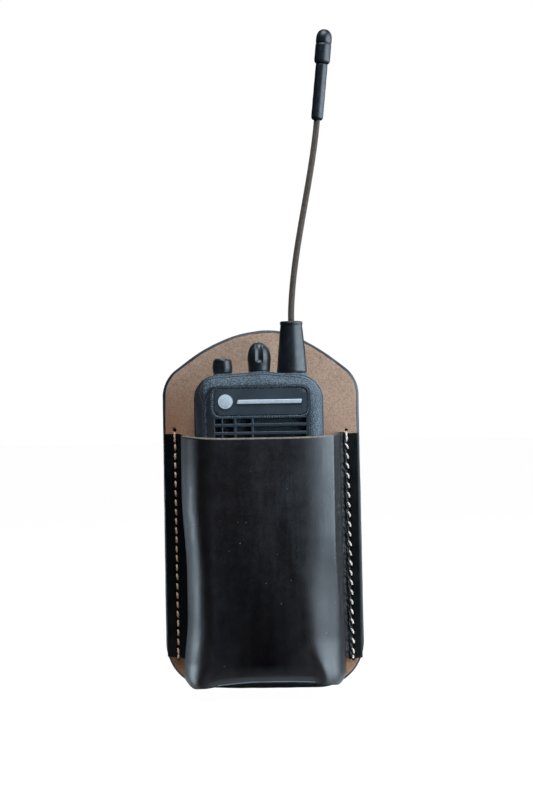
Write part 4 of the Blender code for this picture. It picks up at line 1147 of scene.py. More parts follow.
def bevel_mouth(rows):
    fade = np.ones(COLUMNS)
    fade[:FOLD] = np.linspace(0, 1, FOLD)
    fade[-FOLD:] = np.linspace(1, 0, FOLD)
    for k, inset in enumerate(MOUTH_BEVEL):
        along = tangents(rows[k][:, :2])
        inward = np.stack([-along[:, 1], along[:, 0]], 1)
        rows[k][:, :2] += inward * inset * fade[:, None]


def mould_side(point, above, f, side, settle, broad, small):
    """Rounds the wall in towards its bottom and makes it uneven."""
    tall = lerp(2.2, 6.5, smoothstep(0.35, 0.74, f))
    if above < tall:
        peak = 1.7 if side < 0 else 1.1
        deep = lerp(3.0, peak, smoothstep(0.45, 0.78, f))
        deep -= (peak - 0.6) * smoothstep(0.80, 1.0, f)
        point[0] -= side * deep * roll((tall - above) / (tall + 0.12))
    if f > 0.42:
        point[1] += settle * smoothstep(0, 1, (f - 0.42) / 0.3) * (0.22 * broad + 0.05 * small)
    else:
        point[0] += settle * (0.16 * broad + 0.04 * small) * min(1.0, f * 8)


def mould_front(point, above, t, settle, broad, small):
    """Rounds the front back to the crease, which stands out as a small ridge."""
    point[1] += settle * (0.22 * broad + 0.05 * small)
    ridge = smoothstep(0.0, 0.16, t) * smoothstep(0, 1, (1 - t) / 0.14)
    if above < 6.5:
        end = max(0.0, 1 - min(t, 1 - t) / 0.10)
        inward = 1.0 if t < 0.5 else -1.0
        point[0] += inward * 0.6 * end * roll((6.5 - above) / 6.62)
    if above < 3.4:
        point[1] += ridge * 4.2 * roll((3.4 - above) / 4.2)
    point[1] -= 0.32 * ridge * math.exp(-((above / 0.7) ** 2))


def mould_pocket(rows, lows):
    for k, share in enumerate(SHARES):
        settle = smoothstep(0.0, 0.05, share)
        for i in range(FOLD, COLUMNS - FOLD):
            point = rows[k][i]
            x, y, z = point
            broad = fbm((x * 0.8, y, z * 0.5), 30, 2, 4.2)
            small = fbm((x, y, z), 9, 2, 1.3)
            f = side_share(i)
            if f is None:
                t = (i - SIDE + 1) / MIDDLE
                mould_front(point, z - lows[i], t, settle, broad, small)
            else:
                side = -1.0 if i < SIDE else 1.0
                mould_side(point, z - lows[i], f, side, settle, broad, small)


def gathers(x, z):
    return fbm((x * 1.3, 1, (z + 0.8 * x) * 1.1), 1.5, 4, 8.0)


def gather_fold(rows):
    """Carries the right flange's gathers a little way up the fold."""
    for k in range(6, FLANGE_ROW + 1):
        for i in range(COLUMNS - FOLD - 3, COLUMNS):
            x, _, z = rows[k][i]
            weight = math.sin(math.pi * (i - (COLUMNS - FOLD - 4)) / (FOLD + 4))
            rows[k][i][1] += 0.36 * weight * gathers(x, z)


def flange_relief(seam, holes, x, z):
    """How far the flange's face is pulled back by the stitches and puckers."""
    off = x - seam.x_at(z)
    near = float(np.min(np.abs(holes - z)))
    relief = 0.16 * math.exp(-(off / 0.75) ** 2)
    relief += 0.42 * math.exp(-(off * off + near * near) / 0.22)
    if seam.side > 0:
        # slanting gathers between the fold and the stitches, one or two to a stitch
        strip = smoothstep(-4.9, -4.2, off) * smoothstep(0, 1, (-0.15 - off) / 0.8)
        phase = (z + 0.95 * x) / 4.61 * math.tau
        wave = 0.5 * math.sin(phase + 1.6 * fbm((x, 1, z), 5.0, 2, 8.0))
        wave += 0.35 * math.sin(2 * phase + 2.2 * fbm((x, 4, z), 3.0, 2, 3.0))
        calm = 0.55 + 0.6 * fbm((3, 7, z), 11.0, 2, 6.0)
        relief += strip * (0.24 * calm * wave + 0.46 * gathers(x, z) - 0.08)
    else:
        relief += 0.07 * math.exp(-((off - 2.1) / 0.3) ** 2)
    relief += 0.04 * fbm((x, 1, z), 5.0, 2, 2.0)
    past = abs(x) - (FLANGE_EDGE - 1.0)
    if past > 0:
        relief += 0.5 * (past / 1.05) ** 2
    return relief


def corner_id(row, column):
    return row * COLUMNS + column


def add_sheet(faces, face_mats):
    """Faces of the walls and the front; below the flanges the fold columns stay open."""
    last = len(SHARES) - 1
    for k in range(last):
        for i in range(COLUMNS - 1):
            if k >= FLANGE_ROW and (i < FOLD or i >= COLUMNS - 1 - FOLD):
                continue
            faces.append((
                corner_id(k, i), corner_id(k, i + 1),
                corner_id(k + 1, i + 1), corner_id(k + 1, i)))
            if k < 3 and FOLD + 6 < i < COLUMNS - FOLD - WALL - 6:
                mat = RAW
            # painted highlight: the last rows above the crease
            elif k >= last - 2 and SIDE + MIDDLE * 0.10 < i < COLUMNS - SIDE - MIDDLE * 0.08:
                mat = CREASE_HIGHLIGHT
            # painted shade: the flanges and the fold's outer part take the darker flange leather
            elif i < FOLD - 4 or i > COLUMNS - FOLD + 2:
                mat = SHADED_FLANGE
            else:
                mat = GRAIN
            face_mats.append(mat)


def add_flange(seam, rows, verts, faces, face_mats):
    inner = 0 if seam.side < 0 else COLUMNS - 1
    shares = np.concatenate([
        np.linspace(0, 0.62, 24),
        np.array([0.68, 0.75, 0.82, 0.88, 0.91, 0.94, 0.965, 0.985, 1.0])])
    holes = np.array(seam.holes())
    lines = []
    for k in range(FLANGE_ROW + 1):
        inner_x, _, inner_z = rows[k][inner]
        outer_x = seam.side * (FLANGE_EDGE + 0.12 * fbm((0, 0, inner_z), 14, 2, 5.0))
        up = (inner_z - FLANGE_LOW) / (MOUTH_Z - FLANGE_LOW)
        line = [corner_id(k, inner)]
        for t in shares[1:]:
            x = lerp(inner_x, outer_x, t)
            level = lerp(lerp(*seam.flange_low, t), seam.flange_top, up)
            z = lerp(inner_z, level, smoothstep(0.0, 0.16, t))
            line.append(len(verts))
            verts.append((x, FLANGE_Y + flange_relief(seam, holes, x, z), z))
        lines.append(line)
    for upper, lower in zip(lines, lines[1:]):
        for c in range(len(shares) - 1):
            a, b, d, e = upper[c], upper[c + 1], lower[c + 1], lower[c]
            faces.append((a, b, d, e) if seam.side > 0 else (b, a, e, d))
            # painted shade: the flange takes the darker flange leather
            face_mats.append(SHADED_FLANGE)


def add_sole(verts, faces, face_mats):
    """Bottom wall from the crease back to the panel."""
    last = len(SHARES) - 1
    previous = [corner_id(last, i) for i in range(SIDE - 1, COLUMNS - SIDE + 1)]
    crease = [verts[i] for i in previous]
    count = len(previous)
    line_count = WALL + CORNER
    for j in range(1, line_count + 1):
        left, right = corner_id(last, SIDE - 1 - j), corner_id(last, COLUMNS - SIDE + j)
        start, end = np.array(verts[left]), np.array(verts[right])
        line = [left]
        for c in range(1, count - 1):
            t = c / (count - 1)
            front_x, front_y, front_z = crease[c]
            side_x, side_y, side_z = start + (end - start) * t
            depth = (side_y - POCKET_FRONT) / (PANEL_SIDE_Y - POCKET_FRONT)
            depth = min(1.0, max(0.0, depth))
            rear_z = lerp(side_z, 0.9, math.sin(math.pi * t) ** 0.45)
            inside = min(1.0, 6 * min(t, 1 - t)) if j < line_count else 1.0
            line.append(len(verts))
            verts.append((
                lerp(front_x, side_x, min(1.0, 3 * depth)),
                max(side_y, front_y + 0.05 * j),
                lerp(side_z, lerp(front_z, rear_z, depth), inside)))
        line.append(right)
        for c in range(count - 1):
            faces.append((previous[c], previous[c + 1], line[c + 1], line[c]))
            face_mats.append(SOLE)
        previous = line


def thicken(obj):
    with editing(obj) as bm:
        bmesh.ops.remove_doubles(bm, verts=bm.verts, dist=1e-7)
        bmesh.ops.recalc_face_normals(bm, faces=bm.faces)
        bm.faces.ensure_lookup_table()
        # the sheet is open, so its front is checked to face -Y
        front = Vector((0, -0.0455, 0.07))
        probe = min(bm.faces, key=lambda f: (f.calc_center_median() - front).length)
        if probe.normal.y > 0:
            bmesh.ops.reverse_faces(bm, faces=bm.faces)
    modifier = obj.modifiers.new("thick", "SOLIDIFY")
    modifier.thickness = LEATHER * MM
    modifier.offset = -1.0
    modifier.use_even_offset = False
    modifier.use_rim = True
    modifier.material_offset = INNER_OFFSET
    modifier.material_offset_rim = PAINT
    apply_modifiers(obj)


def build_pocket():
    plan = np.array([pocket_section(float(share)) for share in SHARES])
    tops, lows = pocket_heights(plan)
    rows = np.zeros((len(SHARES), COLUMNS, 3))
    rows[:, :, :2] = plan
    for k, share in enumerate(SHARES):
        rows[k, :, 2] = tops * (1 - share) + lows * share
    bevel_mouth(rows)
    mould_pocket(rows, lows)
    gather_fold(rows)
    verts = [tuple(point) for row in rows for point in row]
    faces, face_mats = [], []
    add_sheet(faces, face_mats)
    for seam in SEAMS:
        add_flange(seam, rows, verts, faces, face_mats)
    add_sole(verts, faces, face_mats)
    mats = [LOOK[key] for key in ("grain", "raw", "shaded_flange", "sole", "crease")]
    mats += [LOOK["inner_flesh"]] * 5 + [LOOK["paint"]]
    obj = make("pocket_leather_shell", verts, faces, mats, face_mats)
    thicken(obj)
    # the mouth's rim is raw, all other rims are painted
    for face in obj.data.polygons:
        if face.material_index >= PAINT:
            mouth = face.center.z > 0.1175 and -0.0385 < face.center.x < 0.0325
            face.material_index = RAW if mouth else PAINT
    obj.data.shade_smooth()
    with editing(obj) as bm:
        for edge in bm.edges:
            if {f.material_index for f in edge.link_faces} in ({GRAIN, SOLE}, {SOLE, CREASE_HIGHLIGHT}):
                edge.smooth = False
    place(obj, "pocket_leather", "holster", "holster_pocket")


# ==================================================================================
# Holster: two-ply thread, one stitch at a time
# ==================================================================================
def add_thread(parts, core, out, radius=0.27, twist=3.0, ply=0.21):
    """Two plies twisted round a core line; ply is their distance from it, twist is the
    number of half turns."""
    core = np.array(core, float)
    along = tangents(core)
    across = np.cross(along, np.array(out, float))
    length = np.linalg.norm(across, axis=1, keepdims=True)
    across = np.where(length > 0.05, unit(across), np.array([[1.0, 0.0, 0.0]]))
    up = np.cross(across, along)
    phase = RNG.uniform(0, math.tau)
    for start in (0, math.pi):
        turn = phase + start + np.linspace(0, twist * math.pi, len(core))
        path = core + ply * (np.cos(turn)[:, None] * across + np.sin(turn)[:, None] * up)
        parts.add_tube(path, radius, sides=7)


def add_stitch(parts, start, end, out, lift, dive, slant, bow=(0, 0, 0), **cord):
    """A stitch between two holes: it stands lift off the leather along out and dives into
    the holes. slant leans it and bow bends it, both as vectors."""
    start, end, out, slant, bow = (np.array(v, float) for v in (start, end, out, slant, bow))
    core = []
    for k in range(17):
        t = k / 16
        height = math.sin(math.pi * t) ** 0.5 * (lift + dive) - dive
        core.append(
            start + (end - start) * (0.03 + 0.94 * t) + out * height
            + slant * (t - 0.5) + bow * math.sin(math.pi * t))
    add_thread(parts, core, out, **cord)


def add_end_loop(parts, hole, inner, edge, up):
    """Out of the back panel's hole, over the flange's end edge and into its first hole.
    hole and inner are (x, z); up is 1 at the top end and -1 at the bottom."""
    x, _ = hole
    inner_x, inner_z = inner
    points = np.array([
        (x, -2.75, edge - up * 1.2), (x, -3.1, edge + up * 0.05), (x, -4.3, edge + up * 0.22),
        (x, -5.2, edge + up * 0.02), (x, FLANGE_Y - 0.42, edge - up * 0.9),
        (inner_x, FLANGE_Y - 0.42, inner_z + up * 1.3),
        (inner_x, FLANGE_Y - 0.15, inner_z + up * 0.5),
        (inner_x, FLANGE_Y + 0.7, inner_z + up * 0.12),
    ])
    t = np.linspace(0, len(points) - 1, 40)
    steps = np.arange(len(points))
    core = np.stack([np.interp(t, steps, points[:, c]) for c in range(3)], 1)
    relax(core, 3)
    add_thread(parts, core, (0.001, -1, 0.0), twist=5.0)


def build_seam(seam, name, node, mat):
    parts = Parts()
    holes = [(seam.x_at(z), z) for z in seam.holes()]
    pairs = list(zip(holes, holes[1:]))
    front = FLANGE_Y + 0.22
    for k, (upper, lower) in enumerate(pairs):
        if k == 0:
            add_end_loop(parts, upper, lower, seam.flange_top, 1.0)
        elif k == len(pairs) - 1:
            add_end_loop(parts, lower, upper, seam.wrap_low, -1.0)
        else:
            shift = RNG.uniform(-0.12, 0.12, 2)
            add_stitch(
                parts, (upper[0] + shift[0], front, upper[1] - seam.gap),
                (lower[0] + shift[1], front, lower[1] + seam.gap), out=(0, -1, 0),
                lift=0.46 + RNG.uniform(-0.05, 0.06), dive=0.75, slant=(seam.slant, 0, 0),
                bow=(seam.bow, 0, 0), radius=seam.radius, ply=0.20)
    # the same thread behind the back panel
    for upper, lower in pairs:
        add_stitch(
            parts, (upper[0], 0.05, upper[1] - 0.3), (lower[0], 0.05, lower[1] + 0.3),
            out=(0, 1, 0), lift=0.4, dive=0.7, slant=(-0.3 * seam.side, 0, 0))
    place(parts.build(name, LOOK[mat]), mat, "holster", node)


# ==================================================================================
# Holster: belt loop on the back
# ==================================================================================
# across the strap: (share of the half width, rounding of the edge)
STRAP_SECTION = [
    (-1.0, 0.45), (-0.985, 0.12), (-0.96, 0.0), *[(t, 0.0) for t in np.linspace(-0.92, 0.92, 25)],
    (0.96, 0.0), (0.985, 0.12), (1.0, 0.45)]


def build_loop():
    low, high = box("belt_loop")
    near, far = low[1], high[1] - LEATHER
    half = (high[0] - low[0]) / 2
    # the strap's inner face (z, y): flat, out, along, back and flat again
    knots = [(low[2], near), (69.5, near), (77.0, far), (125.0, far), (132.5, near),
             (high[2], near)]
    path = []
    for (z0, y0), (z1, y1) in zip(knots, knots[1:]):
        for k in range(26):
            t = k / 26
            path.append((lerp(z0, z1, t), lerp(y0, y1, smoothstep(0, 1, t))))
    path.append(knots[-1])
    path = np.array(path)
    relax(path, 6)
    along = tangents(path)
    rings = []
    for (z, y), (along_z, along_y) in zip(path, along):
        normal_z, normal_y = -along_y, along_z
        outer, inner = [], []
        for share, inset in STRAP_SECTION:
            x = share * half
            uneven = 0.06 * fbm((x, y, z), 9, 3, 6.0) * (1 - abs(share))
            thick = LEATHER - inset
            outer.append((x, y + normal_y * thick + uneven, z + normal_z * thick))
            inner.append((x, y + normal_y * inset + uneven * 0.3, z + normal_z * inset))
        rings.append(outer + inner[::-1])
    mats = [LOOK["back_grain"], LOOK["flesh"], LOOK["paint"]]
    obj = solid("belt_loop_strap", rings, mats)
    for face in obj.data.polygons:
        edge = abs(face.center.x) > half * 0.965 * MM or len(face.vertices) > 4
        face.material_index = 2 if edge else (0 if face.normal.y > 0 else 1)
    place(obj, "pocket_leather", "holster", "belt_loop")
    for level in ("lower", "upper"):
        build_loop_stitches(level, near + LEATHER - 0.1)


def build_loop_stitches(level, strap_y):
    """A row of stitches across the strap, showing behind it and on the panel's front."""
    node = "belt_loop_thread_" + level
    z = middle(*box(node))[2]
    parts = Parts()
    count, width = 8, 36.0
    pitch = width / count
    for k in range(count):
        x0 = -width / 2 + pitch * k + 0.35
        x1 = -width / 2 + pitch * k + pitch - 0.35
        for y, out, lift in ((strap_y, 1, 0.45), (-2.38, -1, 0.38)):
            add_stitch(parts, (x0, y, z), (x1, y, z), out=(0, out, 0), lift=lift, dive=0.7,
                       slant=(0, 0, 0.5))
    obj = parts.build("belt_loop_stitches_" + level, LOOK["thread_tan"])
    place(obj, "thread_tan", "holster", node)


# ==================================================================================
# Radio: front housing
# ==================================================================================
TOP_Z = 150.4
SHOULDER_INSET, SHOULDER_WIDTH, SHOULDER_DEPTH = 0.66, 5.36, 6.15
# profile from the rear (inset, y), with the parting groove behind the shoulder
SHELL_PROFILE = [
    (0.0, HOUSING_HIGH[1]), (0.0, -14.0), (0.0, -22.0), (0.0, -30.6), (0.03, -33.75),
    (0.12, -34.0), (0.22, -34.1), (1.15, -34.2), (1.25, -34.5), (1.0, -34.85), (0.78, -35.0),
    (0.68, -35.15)]
CAVITY_PROFILE = [(2.0, 8.0), (2.0, -33.5), (2.6, -37.0), (4.6, -39.4)]
RECESS = (-21.5, 129.7, 21.4, 142.4)    # nameplate recess (x0, z0, x1, z1)
SLOTS = ((-21.0, -18.0), (-17.4, -12.5), (-11.3, -4.5), (-3.4, 20.7))   # one row's x spans
SLOT_ROWS, SLOT_TOP_Z, SLOT_PITCH, SLOT_HALF = 8, 127.35, 3.73, 1.15
COVER_GROOVE_X = MIDDLE_X - 25.3
# vertical grooves (side, x, radius, height of the curved end)
SIDE_GROOVES = ((-1, MIDDLE_X - 24.0, 0.26, 6.0), (1, MIDDLE_X + 23.2, 0.36, 7.0))
BUTTON_NODES = ("ptt_button", "side_button_upper", "side_button_lower")


def body_outline(inset=0.0, step=3.0):
    def corners(g):
        bottom_radius = max(0.6, 6.0 - g)
        return [
            (LEFT_X + g, HOUSING_BOTTOM + g, bottom_radius),
            (RIGHT_X - g, HOUSING_BOTTOM + g, bottom_radius),
            (RIGHT_X - 0.2 - g, 147.7 - g, 12.0 - g),
            (9.5, TOP_Z - 1.3 - g, 30.0),
            (1.0, TOP_Z - 0.2 - g, 25.0),
            (-6.5, TOP_Z - 0.9 - g, 30.0),
            (LEFT_X + 0.4 + g, 148.2 - g, 11.0 - g),
        ]

    return rounded_outline(corners(inset), 14, step, like=corners(0.0))


def shoulder_y(inset):
    """y of the rounded shoulder at an inset from the body's outline."""
    share = (min(inset, 6.0) - SHOULDER_INSET) / SHOULDER_WIDTH
    return FRONT_Y + SHOULDER_DEPTH * roll(1 - share)


def recess_cutters():
    """The nameplate's recess with a soft lip, and the shallow channel round it."""
    x0, z0, x1, z1 = RECESS
    channel = (x0 - 1.15, z0 - 0.85, x1 + 1.15, z1 + 1.15)
    # (growth of the outline, depth behind the front)
    lip = ((0.35, -1.0), (0.3, -0.02), (0.0, 0.3), (0.0, 1.1))
    shallow = ((0.12, -1.0), (0.1, -0.02), (0.0, 0.5))
    return [
        cutter([
            at_y(rounded_rect(rect, grow, radius + grow, 8, 50), FRONT_Y + depth)
            for grow, depth in profile])
        for rect, radius, profile in ((RECESS, 3.2, lip), (channel, 3.9, shallow))]


def slot_cutter():
    """Grille slots with a chamfered mouth."""
    parts = Parts()
    for row in range(SLOT_ROWS):
        z = SLOT_TOP_Z - row * SLOT_PITCH
        for x0, x1 in SLOTS:
            rings = []
            for grow, depth in ((0.28, -1.0), (0.26, -0.01), (0.0, 0.32), (0.0, 4.0)):
                low, high = z - SLOT_HALF - grow, z + SLOT_HALF + grow
                rings.append(at_y(
                    [(x0 - grow, low), (x1 + grow, low), (x1 + grow, high), (x0 - grow, high)],
                    FRONT_Y + depth))
            parts.add(rings)
    return parts.build(smooth=False)


def groove_cutter(path, radius):
    parts = Parts()
    parts.add_tube(path, radius, sides=12)
    return parts.build(smooth=False)


def cover_groove():
    """Groove up the left shoulder that carries on along the top edge."""
    inset = COVER_GROOVE_X - LEFT_X
    path = [(LEFT_X + inset, shoulder_y(inset), z) for z in np.linspace(22.0, 133.0, 38)]
    points, normals = outline_normals(body_outline(step=1.5))
    for (x, z), (normal_x, normal_z) in zip(points[::-1], normals[::-1]):
        if z > 134.0 and x < RIGHT_X - 5.0:
            g = 1.5
            if x < MIDDLE_X - 12:
                g = lerp(inset, 1.5, smoothstep(134.0, 146.0, z))
            rise = 0.48 * smoothstep(RIGHT_X - 14.0, RIGHT_X - 5.0, x)
            path.append((x - normal_x * g, shoulder_y(g) - rise, z - normal_z * g))
    return groove_cutter(path, 0.56)


def side_groove(side, groove_x, radius, rise):
    """Groove down one side of the front panel, curving outward at its bottom-to-top end."""
    path = [(groove_x, FRONT_Y, 22.0)]
    path += [(groove_x, FRONT_Y, z) for z in np.linspace(24, 135.5, 40)]
    for k in range(1, 9):
        a = math.pi / 2 * k / 8
        path.append((
            groove_x - side * 7.0 * (1 - math.cos(a)), FRONT_Y - 0.02 * k,
            135.5 + rise * math.sin(a)))
    return groove_cutter(path, radius)


def deck_cutters():
    """The small round hole in the front, then the holes through the top deck."""
    deck = 150.0
    return [
        cylinder((MIDDLE_X, FRONT_Y, 40.0), 0.9, 8.0),
        cylinder((VOLUME.x, VOLUME.y, deck), 3.4, 16.0, "Z"),
        cylinder((CHANNEL.x, CHANNEL.y, deck), 3.4, 16.0, "Z"),
        cylinder((CHANNEL.x, CHANNEL.y, 153.5), 5.0, 8.0, "Z", 64),
        cylinder((BOOT.x, BOOT.y, deck), 4.6, 16.0, "Z"),
        cylinder((4.6, -11.5, deck), 1.75, 16.0, "Z"),
    ]


def side_cutters():
    """Openings for the left buttons, each from its own box, and for the right jack."""
    tools = []
    for node in BUTTON_NODES:
        low, high = box(node)
        tools.append(block(
            (LEFT_X - 6, low[1] + 0.5, low[2] + 0.5), (LEFT_X + 4, high[1] - 0.5, high[2] - 0.5)))
    tools.append(block((RIGHT_X - 4, -34.4, 87.6), (RIGHT_X + 6, -26.4, 104.4)))
    tools.append(cylinder((RIGHT_X - 1.0, -30.4, 108.4), 1.6, 8.0, "X", 24))
    return tools


def build_housing():
    profile = list(SHELL_PROFILE)
    for k in range(1, 15):
        a = math.pi / 2 * k / 14
        profile.append((
            SHOULDER_INSET + SHOULDER_WIDTH * (1 - math.cos(a)),
            FRONT_Y + SHOULDER_DEPTH - SHOULDER_DEPTH * math.sin(a)))
    rings = [at_y(body_outline(min(inset, 5.9)), y) for inset, y in profile]
    obj = solid("front_housing_shell", rings, LOOK["housing_plastic"])
    battery_bay = block((-60, -21.8, -20), (60, 20, 121.0))
    cut(obj, [battery_bay, cutter([at_y(body_outline(i), y) for i, y in CAVITY_PROFILE])])
    cut(obj, [
        *recess_cutters(), slot_cutter(), cover_groove(),
        *[side_groove(*groove) for groove in SIDE_GROOVES], *deck_cutters()])
    cut(obj, side_cutters())
    weld(obj)
    harden(obj, 28)
    place(obj, "housing_plastic", "radio", "front_housing")


def build_lens():
    x, y, _ = middle(*box("led_lens"))
    profile = [(0.02, 149.9), (0.6, 149.86), (1.0, 149.7), (1.25, 149.4), (1.3, 149.0),
               (1.3, 146.2), (0.02, 146.2)]
    obj = revolve("status_lens", profile, LOOK["lens"], (x, y, 0), steps=40, sharp=50)
    place(obj, "lens", "radio", "led_lens")


def build_collars():
    """Raised seats on the deck round the volume knob and the antenna."""
    for name, piece, outer, bore in (
            ("volume_collar", VOLUME, 4.3, 2.0), ("antenna_collar", BOOT, 7.1, 3.2)):
        top = piece.bottom - 0.5
        profile = [
            (bore, top - 0.15), (bore + 0.15, top), (outer - 0.3, top),
            (outer - 0.08, top - 0.08), (outer, top - 0.3), (outer + 0.15, top - 2.2),
            (bore, top - 2.2)]
        rings = [at_z(circle(piece.x, piece.y, r, 72), z) for r, z in profile]
        obj = hoop(name, rings, LOOK["housing_plastic"])
        obj.data.set_sharp_from_angle(angle=math.radians(50))
        place(obj, "housing_plastic", "radio")


def build_bosses():
    """Hollow posts inside the housing for the two screws."""
    profile = [(1.35, -24.0), (2.5, -24.0), (2.6, -24.3), (2.6, -39.6), (1.35, -39.6)]
    for side, word in ((-1, "left"), (1, "right")):
        x = MIDDLE_X + side * 25.6
        rings = [at_y(circle(x, 22.0, radius, 24), y) for radius, y in profile]
        obj = hoop("housing_boss_" + word, rings, LOOK["battery_plastic"])
        place(obj, "housing_plastic", "radio")


# ==================================================================================
# Radio: nameplate
# ==================================================================================
def build_beading():
    """A row of beads round the nameplate's recess."""
    x0, z0, x1, z1 = RECESS
    line = (x0 - 0.60, z0 - 0.44, x1 + 0.60, z1 + 0.60)
    path = np.array(rounded_rect(line, 0.0, 3.8, 16, 0.5))
    lengths = np.linalg.norm(np.roll(path, -1, 0) - path, axis=1)
    ends = np.concatenate([[0], np.cumsum(lengths)])
    pitch = 1.12
    count = int(round(ends[-1] / pitch))
    parts = Parts()
    for k in range(count):
        reach = ends[-1] * k / count
        i = min(len(path) - 1, int(np.searchsorted(ends, reach, side="right")) - 1)
        t = (reach - ends[i]) / max(lengths[i], 1e-9)
        x, z = path[i] + (path[(i + 1) % len(path)] - path[i]) * t
        rings = [at_y(circle(x, z, 0.40, 10), FRONT_Y + 0.6)]
        for m in range(5):
            a = math.pi / 2 * m / 4.6
            y = FRONT_Y + 0.38 - 0.42 * math.sin(a)
            rings.append(at_y(circle(x, z, 0.40 * math.cos(a), 10), y))
        parts.add(rings)
    place(parts.build("nameplate_beading", LOOK["bead"]), "housing_plastic", "radio")


def build_plate():
    """The plate itself, slightly crowned."""
    low, high = box("nameplate")
    rect = (low[0], low[2], high[0], high[2])
    front = low[1]
    profile = [(0.0, high[1]), (0.0, front + 0.12), (0.12, front), (1.2, front - 0.02),
               (2.4, front - 0.04)]
    rings = [at_y(rounded_rect(rect, -inset, 2.8, 8, 100), y) for inset, y in profile]
    obj = solid("nameplate_face", rings, LOOK["plate_plastic"], sharp=35)
    place(obj, "plate_plastic", "radio", "nameplate")


def build_badge():
    """Plain disc with a groove near its rim."""
    low, high = box("badge_disc")
    x, y, z = middle(low, high)
    radius = (high[0] - low[0]) / 2
    # (share of the radius, height towards the front)
    profile = [(0.0, 0.16), (0.55, 0.14), (0.80, 0.09), (0.86, 0.02), (0.90, 0.10),
               (0.97, 0.08), (1.0, -0.02), (1.0, -0.2)]
    rings = [at_y(circle(x, z, max(radius * share, 0.02), 56), y - height)
             for share, height in profile]
    obj = solid("badge_plain_disc", rings, LOOK["mark_white"], sharp=50)
    place(obj, "mark_white", "radio", "badge_disc")


def build_bar():
    """Plain slanted bar on the nameplate."""
    low, high = box("nameplate_bar")
    z, half = (low[2] + high[2]) / 2, 0.95
    corners = [(low[0] + 0.1, z - half, 0.3), (high[0] - 0.75, z - half, 0.3),
               (high[0] - 0.1, z + half, 0.3), (low[0] + 0.75, z + half, 0.3)]
    points, normals = outline_normals(rounded_outline(corners, 5, 3))
    profile = ((0.0, high[1]), (0.0, low[1] + 0.14), (0.12, low[1] + 0.02), (0.3, low[1]))
    rings = [at_y(points - normals * inset, y) for inset, y in profile]
    obj = solid("nameplate_plain_bar", rings, LOOK["mark_white"], sharp=40)
    place(obj, "mark_white", "radio", "nameplate_bar")


# ==================================================================================
# Radio: knobs
# ==================================================================================
KNOB_BORE = 1.9


def build_volume_knob():
    radius, height = VOLUME.radius, VOLUME.height

    def grip(angle, r, z):
        """Ribs round the side, and two flats."""
        if r < radius * 0.55:
            return r
        body = math.exp(-((z - height * 0.45) / (height * 0.42)) ** 4)
        rib = 0.09 * (abs(math.sin(angle * 14)) ** 0.7 - 0.6)
        rib += 0.08 * math.sin(z * math.tau / 0.95)
        flat = 0.0
        for facing in (247, 97):
            off = angle_off(angle, math.radians(facing))
            if abs(off) < 0.56:
                flat = min(flat, radius * (0.85 / math.cos(off) - 1.0))
        return r + (rib + flat) * body * (r / radius)

    profile = [
        (0.02, height - 0.25), (1.0, height - 0.22), (1.9, height - 0.12), (2.6, height),
        (3.2, height - 0.03), (3.75, height - 0.35), (4.15, height - 0.95)]
    for k in range(10):
        r = lerp(4.3, radius - 0.02, smoothstep(0, 1, k / 9))
        profile.append((r, lerp(height - 1.3, 2.4, k / 9)))
    profile += [
        (radius - 0.02, 1.6), (radius - 0.1, 0.7), (radius - 0.2, 0.1), (radius - 0.45, -0.35),
        (KNOB_BORE, -0.35), (KNOB_BORE, 5.2), (0.02, 5.2)]
    obj = revolve("volume_knob_ribbed", profile, LOOK["knob_rubber"], VOLUME[:3],
                  steps=108, sharp=48, shape=grip)
    place(obj, "knob_rubber", "volume_control", "volume_knob")


def build_channel_knob():
    radius, height = CHANNEL.radius, CHANNEL.height
    dome_z = 5.4

    def flute(angle, r, z):
        """Three broad scoops down the dome."""
        if r < 0.4 or (z > height - 0.4 and r < 1.2):
            return r
        if r < KNOB_BORE + 0.01 and z < 9.4:
            return r
        fade = smoothstep(3.2, 5.0, z)
        wide = 0.30 + 0.05 * (height - z) / height
        depth = 0.0
        for k in range(3):
            off = angle_off(angle, math.radians(-90 + 120 * k))
            arc = r * math.sin(min(abs(off), 1.2)) / radius
            depth += 1.15 * max(0.0, 1 - (arc / wide) ** 2) ** 0.8 * fade
        return r - depth * (0.45 + 0.55 * r / radius)

    profile = []
    for k in range(19):
        a = math.pi / 2 * k / 18
        r = max(0.02, radius * math.sin(a) ** 0.86)
        profile.append((r, dome_z + (height - dome_z) * math.cos(a)))
    for k in range(1, 9):
        t = k / 8
        profile.append((radius - 0.38 * smoothstep(0, 1, t), lerp(dome_z, 0.7, t)))
    profile += [
        (radius - 0.40, 0.3), (radius - 0.45, -0.4), (radius - 0.6, -0.8), (KNOB_BORE, -0.8),
        (KNOB_BORE, 9.3), (0.02, 9.3)]
    obj = revolve("channel_knob_fluted", profile, LOOK["knob_rubber"], CHANNEL[:3],
                  steps=144, sharp=60, shape=flute)
    place(obj, "knob_rubber", "channel_control", "channel_knob")


# ==================================================================================
# Radio: antenna
# ==================================================================================
WHIP_STRAIGHT_Z, WHIP_END_Z = 176.0, 268.5
WHIP_SHIFT = 13.8               # how far the whip bends towards +X
TIP_TILT = math.radians(6.0)
TIP_AXIS = Vector((math.sin(TIP_TILT), 0, math.cos(TIP_TILT)))


def whip_x(z):
    t = min(1.0, max(0.0, (z - WHIP_STRAIGHT_Z) / (WHIP_END_Z - WHIP_STRAIGHT_Z)))
    return BOOT.x + WHIP_SHIFT * (0.226 * t + 1.931 * t * t - 1.157 * t ** 3)


